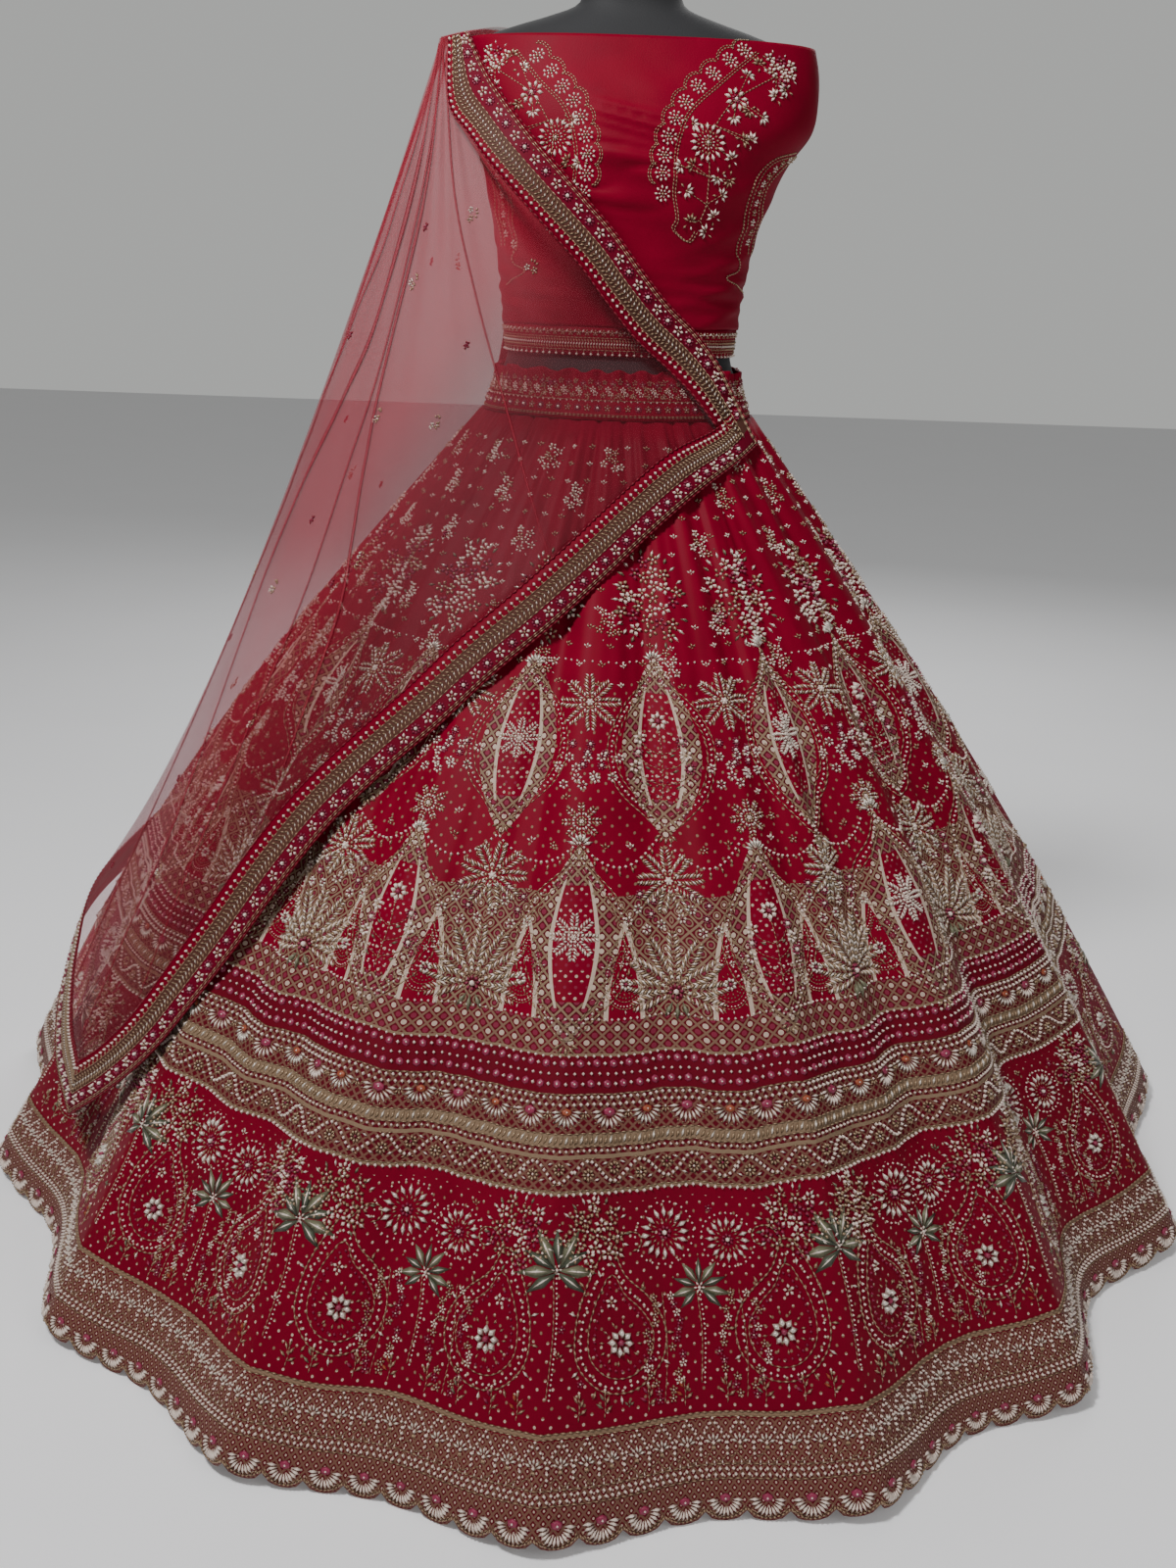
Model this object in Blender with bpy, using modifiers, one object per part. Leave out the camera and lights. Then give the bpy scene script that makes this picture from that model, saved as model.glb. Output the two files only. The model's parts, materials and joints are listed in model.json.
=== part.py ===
"""Lehenga choli with its dupatta on a limbless dress form, in metres.

The form stands on the floor with its axis at the origin. -Y is the front and +X the viewer's right.
Every cloth piece is a wall between a grid of points on its outer face and the same grid moved in.
"""
import math
from collections import namedtuple

import bmesh
import bpy
import numpy as np

# Cloth walls and the gap that is left at each seam
SILK = 0.0024
NET = 0.0013
BORDER = 0.0020
SEAM = 0.0003

# Lehenga: heights, waist half widths, and the folds of its kalis
BAND_TOP, BAND_SEAM = 0.998, 0.945
SEAM_HALF_WIDTH, SEAM_HALF_DEPTH = 0.162, 0.142
KALI_COLUMNS, KALI_ROWS = 8, 9
GATHERS_PER_KALI, GATHER_DEPTH, GATHER_FADE = 2, 0.0030, 0.40
FOLD_GROWTH = 1.35
RIDGE_LIFT = 0.010
SCALLOP_DEPTH, SCALLOP_STEPS = 0.012, 4
BAND_RUFFLES, RUFFLE_DEPTH = 24, 0.0022

# A fold's outer ridge at the hem, the floor of the valley after it, and how far its side bellies out
Fold = namedtuple("Fold", "angle ridge valley belly")
FRONT_FOLDS = [
    Fold(-73.4, 0.781, 0.731, 0.026),
    Fold(-46.3, 0.797, 0.771, 0.026),
    Fold(-24.7, 0.821, 0.789, 0.026),
    Fold(-3.1, 0.832, 0.784, 0.026),
    Fold(19.8, 0.818, 0.758, 0.026),
    Fold(40.7, 0.795, 0.716, 0.026),
    Fold(66.6, 0.778, 0.731, 0.026),
    Fold(96.4, 0.813, 0.752, 0.026),
]
LEFT_FOLD = Fold(262.8, 0.815, 0.752, 0.055)
BACK_FOLDS, BACK_RIDGE, BACK_VALLEY, BACK_BELLY = 6, 0.790, 0.738, 0.026

# Choli: half widths to the right and left, depths to the front and back, at each height
Section = namedtuple("Section", "height right left front back")
CHOLI = [
    Section(1.014, 0.136, 0.136, 0.114, 0.102),
    Section(1.045, 0.139, 0.139, 0.115, 0.102),
    Section(1.090, 0.144, 0.143, 0.116, 0.100),
    Section(1.140, 0.153, 0.150, 0.120, 0.098),
    Section(1.185, 0.168, 0.158, 0.127, 0.098),
    Section(1.225, 0.186, 0.168, 0.130, 0.098),
    Section(1.262, 0.212, 0.180, 0.124, 0.096),
    Section(1.295, 0.217, 0.186, 0.112, 0.092),
    Section(1.325, 0.216, 0.188, 0.098, 0.086),
    Section(1.350, 0.210, 0.186, 0.088, 0.078),
]
CHOLI_COLUMNS = 48
SQUARENESS = 2.4
HEM_BAND_TOP = 1.045

# Dress form: inside the waistband and the choli it follows them, and these tables give the rest
EASE = 0.0034
SEAT = 0.0006
HIPS = [
    Section(0.740, 0.122, 0.122, 0.092, 0.092),
    Section(0.752, 0.150, 0.150, 0.118, 0.118),
    Section(0.850, 0.154, 0.154, 0.128, 0.124),
    Section(0.925, 0.150, 0.150, 0.130, 0.120),
]
SHOULDERS = [
    Section(1.348, 0.176, 0.176, 0.076, 0.068),
    Section(1.362, 0.140, 0.140, 0.066, 0.062),
    Section(1.374, 0.100, 0.100, 0.058, 0.058),
    Section(1.386, 0.066, 0.066, 0.053, 0.054),
    Section(1.402, 0.055, 0.055, 0.051, 0.052),
    Section(1.450, 0.053, 0.053, 0.050, 0.051),
]
NECK_CAP_RADIUS, NECK_CAP_HEIGHT = 0.050, 0.014
POLE_RADIUS = 0.016
BASE_RADIUS, BASE_RIM, BASE_HEIGHT = 0.180, 0.010, 0.024

# Dupatta: the cloth, and the routes of its edges as angle round the body, height and stand-off
DUPATTA_BORDER = 0.055
STAND_OFF = 0.0075
Station = namedtuple("Station", "angle height off")
CHEST_EDGE = [
    Station(63.8, 0.919, 0.008),
    Station(60.8, 0.964, 0.008),
    Station(46.5, 1.027, 0.008),
    Station(20.0, 1.083, 0.006),
    Station(-4.6, 1.148, 0.006),
    Station(-27.0, 1.204, 0.006),
    Station(-49.0, 1.266, 0.007),
    Station(-76.0, 1.345, 0.008),
]
END_EDGE = [
    Station(63.8, 0.919, 0.008),
    Station(38.4, 0.892, 0.008),
    Station(17.9, 0.857, 0.008),
    Station(-7.7, 0.762, 0.008),
    Station(-18.7, 0.704, 0.008),
    Station(-27.2, 0.638, 0.008),
    Station(-33.8, 0.582, 0.008),
    Station(-39.6, 0.510, 0.008),
    Station(-42.6, 0.430, 0.008),
    Station(-45.6, 0.352, 0.008),
    Station(-50.0, 0.258, 0.008),
    Station(-57.4, 0.172, 0.009),
]
SIDE_EDGE = [
    Station(-57.4, 0.172, 0.009),
    Station(-65.4, 0.172, 0.011),
    Station(-74.0, 0.188, 0.012),
    Station(-83.0, 0.214, 0.014),
    Station(-95.0, 0.256, 0.016),
    Station(-108.0, 0.322, 0.018),
    Station(-120.0, 0.420, 0.018),
    Station(-130.0, 0.560, 0.018),
    Station(-138.0, 0.740, 0.020),
    Station(-143.0, 0.930, 0.026),
    Station(-141.0, 1.100, 0.028),
    Station(-122.0, 1.240, 0.026),
]
END_COLUMNS, SIDE_COLUMNS, TENT_ROWS = 15, 13, 12
Pin = namedtuple("Pin", "x y z")
GATHER_LINE = [
    Pin(-0.181, -0.045, 1.353),
    Pin(-0.203, -0.040, 1.349),
    Pin(-0.210, -0.012, 1.349),
    Pin(-0.208, 0.020, 1.349),
    Pin(-0.200, 0.048, 1.349),
]
PLEATS, PLEAT_DEPTH, PLEAT_FADE = 6, 0.0045, 0.72
BACK_START = [
    Pin(-0.104, 0.092, 1.362),
    Pin(-0.135, 0.092, 1.359),
    Pin(-0.163, 0.088, 1.354),
]
FALL_ROWS, FALL_SIDE_COLUMNS = 10, 2
FALL_FOLDS, FALL_FOLD_DEPTH = 6, 0.014
FALL_RIGHT, FALL_LEFT = -203.0, -169.0
FALL_END, FALL_OFF = 0.330, 0.042
TUCK_RISE = 0.009

# Colours, roughness and metallic values
Finish = namedtuple("Finish", "colour roughness metallic")
FINISHES = {
    "crimson_silk": Finish((0.37, 0.004, 0.016), 0.55, 0.0),
    "crimson_net": Finish((0.42, 0.010, 0.040), 0.65, 0.0),
    "gold_border": Finish((0.42, 0.200, 0.120), 0.50, 0.3),
    "black_jersey": Finish((0.012, 0.012, 0.014), 0.80, 0.0),
    "black_metal": Finish((0.020, 0.020, 0.022), 0.35, 1.0),
}


# Scene and mesh helpers

def clear_scene():
    for old in list(bpy.data.objects):
        bpy.data.objects.remove(old, do_unlink=True)


def finish_material(name):
    """The named finish as a Principled material, made once."""
    if name in bpy.data.materials:
        return bpy.data.materials[name]
    finish = FINISHES[name]
    material = bpy.data.materials.new(name)
    material.use_nodes = True
    shader = material.node_tree.nodes["Principled BSDF"]
    shader.inputs["Base Color"].default_value = (*finish.colour, 1.0)
    shader.inputs["Roughness"].default_value = finish.roughness
    shader.inputs["Metallic"].default_value = finish.metallic
    return material


def add_object(name, bm, finish, collection):
    """A mesh object from a finished bmesh, with its faces pointing out."""
    bmesh.ops.recalc_face_normals(bm, faces=bm.faces)
    mesh = bpy.data.meshes.new(name)
    bm.to_mesh(mesh)
    bm.free()
    mesh.shade_smooth()
    mesh.set_sharp_from_angle(angle=math.radians(40))
    mesh.materials.append(finish_material(finish))
    made = bpy.data.objects.new(name, mesh)
    collection.objects.link(made)
    return made


def face_rows(bm, rows):
    """Faces between successive rows. A row may hold a whole number of cells for each one above it."""
    for upper, lower in zip(rows, rows[1:]):
        cells = len(upper) - 1
        parts = (len(lower) - 1) // cells
        for c in range(cells):
            below = lower[c * parts:(c + 1) * parts + 1]
            bm.faces.new([upper[c], upper[c + 1]] + below[::-1])


def cloth_wall(name, outer_rows, inner_rows, finish, collection, ring=False):
    """A closed wall between the rows of its outer face and those of its inner face."""
    bm = bmesh.new()
    sheets = []
    for rows in (outer_rows, inner_rows):
        sheet = []
        for row in rows:
            verts = [bm.verts.new(p) for p in (row[:-1] if ring else row)]
            sheet.append(verts + verts[:1] if ring else verts)
        sheets.append(sheet)
        face_rows(bm, sheet)
    outer, inner = sheets
    rims = [(outer[0], inner[0]), (outer[-1], inner[-1])]
    if not ring:
        rims.append(([row[0] for row in outer], [row[0] for row in inner]))
        rims.append(([row[-1] for row in outer], [row[-1] for row in inner]))
    for out_rim, in_rim in rims:
        for k in range(len(out_rim) - 1):
            bm.faces.new([out_rim[k], out_rim[k + 1], in_rim[k + 1], in_rim[k]])
    return add_object(name, bm, finish, collection)


def drawn_in(points, first, last, axis):
    """The grid with its first and last lines along an axis drawn in by half a seam where asked."""
    grid = np.moveaxis(points.copy(), axis, 0)
    for wanted, edge, inside in ((first, 0, 1), (last, -1, -2)):
        if wanted:
            step = grid[inside] - grid[edge]
            size = np.linalg.norm(step, axis=1, keepdims=True)
            grid[edge] += step / size * SEAM / 2
    return np.moveaxis(grid, 0, axis)


def sheet_piece(name, points, outward, thickness, seams, finish, collection):
    """One cut piece of a larger sheet. Its seams are top, bottom, left and right, True where it is sewn."""
    top, bottom, left, right = seams
    outer = drawn_in(drawn_in(points, top, bottom, 0), left, right, 1)
    inner = outer - outward * thickness
    return cloth_wall(name, outer.tolist(), inner.tolist(), finish, collection)


def on_axis(angle, radius, height):
    """The point at an angle from the front centre, in degrees and positive to the right."""
    turn = math.radians(angle)
    return (radius * math.sin(turn), -radius * math.cos(turn), height)


def between(low, high, share):
    return low + (high - low) * share


# Lehenga

def all_folds():
    """The folds right round the hem: those seen at the front, even ones behind, and the left one."""
    start, end = FRONT_FOLDS[-1].angle, LEFT_FOLD.angle
    step = (end - start) / (BACK_FOLDS + 1)
    behind = [
        Fold(start + step * (k + 1), BACK_RIDGE, BACK_VALLEY, BACK_BELLY)
        for k in range(BACK_FOLDS)
    ]
    return FRONT_FOLDS + behind + [LEFT_FOLD]


def ellipse_radius(angle, half_width, half_depth):
    turn = math.radians(angle)
    return 1 / math.hypot(math.sin(turn) / half_width, math.cos(turn) / half_depth)


def fold_place(angle):
    """The ridge line, belly and valley depth of the fold at an angle, and how far across it that is."""
    folds = all_folds()
    start = folds[0].angle
    turned = (angle - start) % 360 + start
    following = folds[1:] + [folds[0]._replace(angle=start + 360)]
    for fold, after in zip(folds, following):
        if turned <= after.angle:
            across = (turned - fold.angle) / (after.angle - fold.angle)
            ridge = between(fold.ridge, after.ridge, across)
            belly = between(fold.belly, after.belly, across)
            depth = (fold.ridge + after.ridge) / 2 - fold.valley
            return ridge, belly, depth, across
    raise ValueError("no fold at this angle")


def skirt_envelope(angle, drop):
    """The radius over the ridges of the lehenga. Drop is 0 at the waistband's seam and 1 at the hem."""
    ridge, belly, _, _ = fold_place(angle)
    waist = ellipse_radius(angle, SEAM_HALF_WIDTH, SEAM_HALF_DEPTH)
    return between(waist, ridge, drop) + belly * math.sin(math.pi * drop)


def skirt_radius(angle, drop):
    """The lehenga's own radius, with its valleys and with the gathers under the waistband."""
    _, _, depth, across = fold_place(angle)
    valley = depth * drop ** FOLD_GROWTH * math.sin(math.pi * across)
    fade = max(0.0, 1 - drop / GATHER_FADE)
    gather = GATHER_DEPTH * fade * math.cos(2 * math.pi * GATHERS_PER_KALI * across)
    return skirt_envelope(angle, drop) - valley + gather


def hem_height(across):
    """The hem stands on the floor in the valleys and lifts a little at the ridges."""
    return SCALLOP_DEPTH + RIDGE_LIFT * abs(math.cos(math.pi * across)) ** 6


def build_kali(number, fold, next_angle, collection):
    """One kali of the lehenga, from ridge to ridge, with its scalloped hem."""
    name = f"lehenga_kali_{number:02d}"

    def row(drop, lowest, columns, scallop):
        points = []
        for c in range(columns + 1):
            across = c / columns
            angle = between(fold.angle, next_angle, across)
            radius = skirt_radius(angle, drop)
            if c in (0, columns):
                inward = 1 if c == 0 else -1
                angle += inward * math.degrees(SEAM / 2 / radius)
            cut = scallop * math.sqrt(max(0.0, 1 - (2 * (across * KALI_COLUMNS % 1) - 1) ** 2))
            height = between(BAND_SEAM - SEAM, lowest(across), drop) - cut
            points.append((angle, radius, height))
        return points

    rows = [row(r / KALI_ROWS, hem_height, KALI_COLUMNS, 0.0) for r in range(KALI_ROWS + 1)]
    rows.append(row(1.0, hem_height, KALI_COLUMNS * SCALLOP_STEPS, SCALLOP_DEPTH))
    rows[-1] = [(a, r, max(h - SEAM, 0.0)) for a, r, h in rows[-1]]
    wall = SILK / math.cos(math.atan2(BACK_RIDGE - SEAM_HALF_WIDTH, BAND_SEAM))
    outer = [[on_axis(a, r, h) for a, r, h in line] for line in rows]
    inner = [[on_axis(a, r - wall, h) for a, r, h in line] for line in rows]
    return cloth_wall(name, outer, inner, "crimson_silk", collection)


def build_waistband(collection):
    """The waistband: a ring on the hips with a gathered heading along its top edge."""
    columns = BAND_RUFFLES * 4
    rows_outer, rows_inner = [], []
    for share in (0.0, 0.5, 1.0):
        height = between(BAND_SEAM + SEAM, BAND_TOP, share)
        outer, inner = [], []
        for c in range(columns + 1):
            angle = 360 * c / columns
            ruffle = RUFFLE_DEPTH * share * math.cos(2 * math.pi * BAND_RUFFLES * c / columns)
            radius = band_radius(angle, height) + ruffle
            outer.append(on_axis(angle, radius, height))
            inner.append(on_axis(angle, radius - SILK, height))
        rows_outer.append(outer)
        rows_inner.append(inner)
    return cloth_wall("lehenga_waistband", rows_outer, rows_inner, "crimson_silk", collection, ring=True)


# Choli and the body that it stands on

def section_radius(section, angle):
    """The radius of a rounded section with its own width to each side and depth to front and back."""
    turn = math.radians(angle)
    width = section.right if math.sin(turn) > 0 else section.left
    depth = section.front if math.cos(turn) > 0 else section.back
    across = abs(math.sin(turn) / width) ** SQUARENESS
    along = abs(math.cos(turn) / depth) ** SQUARENESS
    return (across + along) ** (-1 / SQUARENESS)


def section_at(table, height):
    """The section at a height, read between the rows of a table."""
    heights = [row.height for row in table]
    values = [np.interp(height, heights, [row[k] for row in table]) for k in range(1, 5)]
    return Section(height, *values)


def choli_radius(angle, height):
    return section_radius(section_at(CHOLI, height), angle)


def band_radius(angle, height):
    """The waistband leans in from the skirt's seam to the choli's size at the waist."""
    share = (height - BAND_SEAM) / (CHOLI[0].height - BAND_SEAM)
    seam = ellipse_radius(angle, SEAM_HALF_WIDTH, SEAM_HALF_DEPTH)
    return between(seam, choli_radius(angle, CHOLI[0].height), share)


def choli_grid(heights, first, last):
    """Points and outward directions of the choli's wall over a range of columns."""
    points, outward = [], []
    for height in heights:
        line, out = [], []
        for c in range(first, last + 1):
            angle = 360 * c / CHOLI_COLUMNS
            line.append(on_axis(angle, choli_radius(angle, height), height))
            out.append(on_axis(angle, 1.0, 0.0))
        points.append(line)
        outward.append(out)
    return np.array(points), np.array(outward)


def build_choli(collection):
    """Front and back of the choli, each with its own embroidered hem band."""
    quarter = CHOLI_COLUMNS // 4
    body = [row.height for row in CHOLI if row.height >= HEM_BAND_TOP][::-1]
    band = [HEM_BAND_TOP, between(CHOLI[0].height, HEM_BAND_TOP, 0.5), CHOLI[0].height]
    for side, first in (("front", -quarter), ("back", quarter)):
        points, outward = choli_grid(body, first, first + 2 * quarter)
        seams = (False, True, True, True)
        sheet_piece(f"choli_{side}", points, outward, SILK, seams, "crimson_silk", collection)
        points, outward = choli_grid(band, first, first + 2 * quarter)
        seams = (True, False, True, True)
        sheet_piece(f"choli_hem_band_{side}", points, outward, SILK, seams, "gold_border", collection)


# Dress form

def torso_rings():
    """Each ring of the torso as its height and its radius at every column."""
    angles = [360 * c / CHOLI_COLUMNS for c in range(CHOLI_COLUMNS)]
    rings = [(row.height, [section_radius(row, a) for a in angles]) for row in HIPS]
    for share in (0.5, 1.0):
        height = between(BAND_SEAM, BAND_TOP, share)
        inside = RUFFLE_DEPTH * share + SILK + SEAT
        rings.append((height, [band_radius(a, height) - inside for a in angles]))
    for row in CHOLI[:-1]:
        sizes = (row.left, row.left, row.front, row.back)
        inside = Section(row.height, *(size - EASE for size in sizes))
        rings.append((row.height, [section_radius(inside, a) for a in angles]))
    return rings + [(row.height, [section_radius(row, a) for a in angles]) for row in SHOULDERS]


def build_torso(collection):
    bm = bmesh.new()
    rings = []
    for height, radii in torso_rings():
        points = [on_axis(360 * c / CHOLI_COLUMNS, radius, height) for c, radius in enumerate(radii)]
        rings.append([bm.verts.new(point) for point in points])
    for lower, upper in zip(rings, rings[1:]):
        for c in range(CHOLI_COLUMNS):
            d = (c + 1) % CHOLI_COLUMNS
            bm.faces.new([lower[c], lower[d], upper[d], upper[c]])
    bm.faces.new(rings[0])
    bm.faces.new(rings[-1])
    return add_object("form_torso", bm, "black_jersey", collection)


def turned(name, profile, finish, collection, steps):
    """A solid turned about Z from its profile of radius and height, listed from the top down."""
    mesh = bpy.data.meshes.new(name)
    verts = [(radius, 0.0, height) for radius, height in profile]
    mesh.from_pydata(verts, [(k, k + 1) for k in range(len(verts) - 1)], [])
    mesh.materials.append(finish_material(finish))
    made = bpy.data.objects.new(name, mesh)
    collection.objects.link(made)
    screw = made.modifiers.new("turn", "SCREW")
    screw.axis = "Z"
    screw.steps = steps
    screw.render_steps = steps
    screw.use_merge_vertices = True
    screw.merge_threshold = 0.00001
    return made


def build_stand(collection):
    """Neck cap, pole and round base."""
    neck_top = SHOULDERS[-1].height + SEAM
    cap = [(0.0, neck_top + NECK_CAP_HEIGHT)]
    for k in range(1, 4):
        turn = math.pi / 2 * k / 3
        rise = NECK_CAP_HEIGHT * (0.3 + 0.7 * math.cos(turn))
        cap.append((NECK_CAP_RADIUS * math.sin(turn), neck_top + rise))
    cap += [(NECK_CAP_RADIUS, neck_top), (0.0, neck_top)]
    turned("form_neck_cap", cap, "black_metal", collection, steps=24)
    foot, head = BASE_HEIGHT + SEAM, HIPS[0].height - SEAM
    pole = [(0.0, head), (POLE_RADIUS, head), (POLE_RADIUS, foot), (0.0, foot)]
    turned("form_pole", pole, "black_metal", collection, steps=24)
    base = [(0.0, BASE_HEIGHT), (POLE_RADIUS * 1.8, BASE_HEIGHT)]
    base += [(BASE_RADIUS * 0.93, BASE_RIM + 0.003), (BASE_RADIUS, BASE_RIM - 0.002)]
    base += [(BASE_RADIUS, 0.0), (0.0, 0.0)]
    turned("form_base", base, "black_metal", collection, steps=48)


# Dupatta

def support_radius(angle, height):
    """The radius of whatever the dupatta lies on at a height."""
    if height > CHOLI[0].height:
        return choli_radius(angle, min(height, CHOLI[-1].height))
    if height > BAND_SEAM:
        return band_radius(angle, height) + RUFFLE_DEPTH
    drop = (BAND_SEAM - height) / (BAND_SEAM - SCALLOP_DEPTH - RIDGE_LIFT)
    return skirt_envelope(angle, drop)


def smooth_line(knots, shares):
    """Points along a line of knots at shares of its length, rounded by a Catmull-Rom curve."""
    knots = np.asarray(knots, dtype=float)
    padded = np.vstack([2 * knots[0] - knots[1], knots, 2 * knots[-1] - knots[-2]])
    fine = []
    for k in range(1, len(padded) - 2):
        a, b, c, d = padded[k - 1:k + 3]
        for t in np.linspace(0, 1, 24, endpoint=False):
            fine.append(0.5 * (2 * b + (c - a) * t + (2 * a - 5 * b + 4 * c - d) * t ** 2
                               + (3 * b - a - 3 * c + d) * t ** 3))
    fine.append(knots[-1])
    fine = np.array(fine)
    run = np.concatenate([[0], np.cumsum(np.linalg.norm(np.diff(fine, axis=0), axis=1))])
    return np.stack([np.interp(np.asarray(shares) * run[-1], run, fine[:, k]) for k in range(3)], 1), run[-1]


def route(stations, shares):
    """An edge of the dupatta over the body, at shares of its length."""
    knots = []
    for station in stations:
        radius = support_radius(station.angle, station.height) + station.off
        knots.append(on_axis(station.angle, radius, station.height))
    return smooth_line(knots, shares)


def pushed_out(point, off=STAND_OFF):
    """The point moved out of the body, if it lies closer than the stand-off."""
    x, y, z = point
    angle = math.degrees(math.atan2(x, -y))
    if z > CHOLI[-1].height + off:
        return point
    radius = max(math.hypot(x, y), support_radius(angle, z) + off)
    return np.array(on_axis(angle, radius, z))


def grid_normals(points, inside=(0.0, 0.0, 0.7)):
    """Unit normals of a grid of points, pointing away from a point inside the body."""
    down = np.gradient(points, axis=0)
    along = np.gradient(points, axis=1)
    normals = np.cross(down, along)
    normals /= np.linalg.norm(normals, axis=2, keepdims=True)
    away = (points - np.array(inside)) * np.array((1.0, 1.0, 0.25))
    if np.sum(normals * away) < 0:
        normals = -normals
    return normals


def settled(points, fixed, off, rounds):
    """The grid drawn tight between its fixed points and kept outside the body."""
    points = points.copy()
    rows, columns = points.shape[:2]
    for _ in range(rounds):
        mean = points.copy()
        mean[1:-1, 1:-1] = 0.38 * (points[:-2, 1:-1] + points[2:, 1:-1])
        mean[1:-1, 1:-1] += 0.12 * (points[1:-1, :-2] + points[1:-1, 2:])
        points = np.where(fixed[..., None], points, mean)
        for r in range(rows):
            for c in range(columns):
                if not fixed[r, c]:
                    points[r, c] = pushed_out(points[r, c], off)
    return points


def inner_line(points, toward, width):
    """The line at a border's inner side, its width away from the edge and mitred at a corner."""
    line = points.copy()
    for k, point in enumerate(points):
        sides = []
        for step in (points[k] - points[k - 1] if k else None,
                     points[k + 1] - points[k] if k + 1 < len(points) else None):
            if step is None:
                continue
            ahead = step / np.linalg.norm(step)
            side = toward[k] - point
            side = side - ahead * side.dot(ahead)
            sides.append(side / np.linalg.norm(side))
        side = sum(sides)
        side /= np.linalg.norm(side)
        line[k] = point + side * width / max(0.6, side.dot(sides[0]))
    return line


def tent_grid():
    """The front stretch: rows run from the outer edges up to the shoulder, columns across the cloth."""
    end_length = route(END_EDGE, [0, 1])[1]
    turn = DUPATTA_BORDER / end_length
    end_shares = [0, turn] + list(np.linspace(turn, 1, END_COLUMNS)[1:])
    side_shares = list(np.linspace(0, 1, SIDE_COLUMNS)[1:])
    lower = np.vstack([route(END_EDGE, end_shares)[0], route(SIDE_EDGE, side_shares)[0]])
    columns = len(lower)
    chest_length = route(CHEST_EDGE, [0, 1])[1]
    turn = DUPATTA_BORDER / chest_length
    row_shares = [0, turn] + list(np.linspace(turn, 1, TENT_ROWS)[1:])
    chest = route(CHEST_EDGE, row_shares)[0]
    rows = len(chest)
    spread = np.linspace(0, 1, columns - 1)
    pins = np.array([tuple(pin) for pin in GATHER_LINE])
    gather = np.vstack([pins[:1], smooth_line(pins[1:], spread)[0]])
    chest[-1] = gather[0]
    points = np.zeros((rows, columns, 3))
    fixed = np.zeros((rows, columns), dtype=bool)
    points[0] = lower
    points[:, 0] = chest
    points[-1] = gather
    points[1, 1:] = inner_line(lower, gather, DUPATTA_BORDER)[1:]
    lane = inner_line(chest[:-1], np.repeat(points[1:2, columns // 2], rows - 1, 0), DUPATTA_BORDER)
    points[1:-1, 1] = lane[1:]
    for c in range(2, columns):
        for r in range(2, rows - 1):
            points[r, c] = between(points[1, c], gather[c], (r - 1) / (rows - 2))
    for r in range(1, rows - 1):
        for c in range(1, columns):
            points[r, c] = pushed_out(points[r, c])
    fixed[0] = fixed[1] = fixed[-1] = True
    fixed[:, 0] = fixed[:, 1] = fixed[:, -1] = True
    return settled(points, fixed, STAND_OFF, 60)


def pleated(points, first_row, folds, depth, fade):
    """The grid with soft pleats that are deepest at its gathered end and fade away from it."""
    normals = grid_normals(points)
    rows, columns = points.shape[:2]
    made = points.copy()
    for r in range(first_row, rows):
        near = (r - first_row) / (rows - 1 - first_row)
        strength = depth * max(0.0, (near - (1 - fade)) / fade)
        for c in range(2, columns - 1):
            wave = 0.5 + 0.5 * math.cos(2 * math.pi * folds * (c - 1) / (columns - 2))
            made[r, c] += normals[r, c] * strength * wave
    return made


def build_tent(collection):
    """The net over the chest and the skirt's left side, with its border pieces."""
    points = pleated(tent_grid(), 1, PLEATS, PLEAT_DEPTH, PLEAT_FADE)
    normals = grid_normals(points)
    corner = END_COLUMNS
    last = points.shape[1] - 1

    def piece(name, rows, columns, seams, thickness, finish):
        part = (slice(rows[0], rows[1] + 1), slice(columns[0], columns[1] + 1))
        sheet_piece(name, points[part], normals[part], thickness, seams, finish, collection)

    top = points.shape[0] - 1
    piece("dupatta_net_front", (1, top), (1, last), (True, True, True, False), NET, "crimson_net")
    piece("dupatta_border_chest", (1, top), (0, 1), (True, True, False, True), BORDER, "gold_border")
    piece("dupatta_border_end", (0, 1), (0, corner), (False, True, False, True), BORDER, "gold_border")
    piece("dupatta_border_side", (0, 1), (corner, last), (False, True, True, False), BORDER, "gold_border")
    return points


def build_tuck(points, fall, collection):
    """The gathered cloth that passes over the shoulder, from the front stretch to the back fall."""
    gather, start = points[-1], fall[0]
    rows = 5
    grid = np.zeros((rows, len(gather), 3))
    for r in range(rows):
        share = r / (rows - 1)
        rise = np.array((0.0, 0.0, TUCK_RISE * math.sin(math.pi * share)))
        grid[r] = between(gather, start, share) + rise
    outward = grid_normals(grid, inside=(-0.15, 0.0, 1.2))
    outward[0] = grid_normals(points)[-1]
    outward[-1] = grid_normals(fall)[0]
    seams = (True, True, False, False)
    sheet_piece("dupatta_shoulder_tuck", grid, outward, NET, seams, "crimson_net", collection)


def fall_grid(start):
    """The back fall: it hangs from the shoulder down the back, pleated, to its own end."""
    columns = len(start)
    shares = np.linspace(0, 1, columns)
    drop = start[0][2] - FALL_END
    downs = list(np.linspace(0, 1 - DUPATTA_BORDER / drop, FALL_ROWS)) + [1.0]
    points = np.zeros((len(downs), columns, 3))
    for c, share in enumerate(shares):
        angle = between(FALL_RIGHT, FALL_LEFT, share)
        wave = FALL_FOLD_DEPTH * math.cos(2 * math.pi * FALL_FOLDS * share)
        radius = support_radius(angle, FALL_END) + FALL_OFF + wave
        end = np.array(on_axis(angle, radius, FALL_END))
        for r, down in enumerate(downs):
            off = between(0.014, FALL_OFF, down) + wave * down
            points[r, c] = pushed_out(between(start[c], end, down), off) if r else start[c]
    return points


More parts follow.
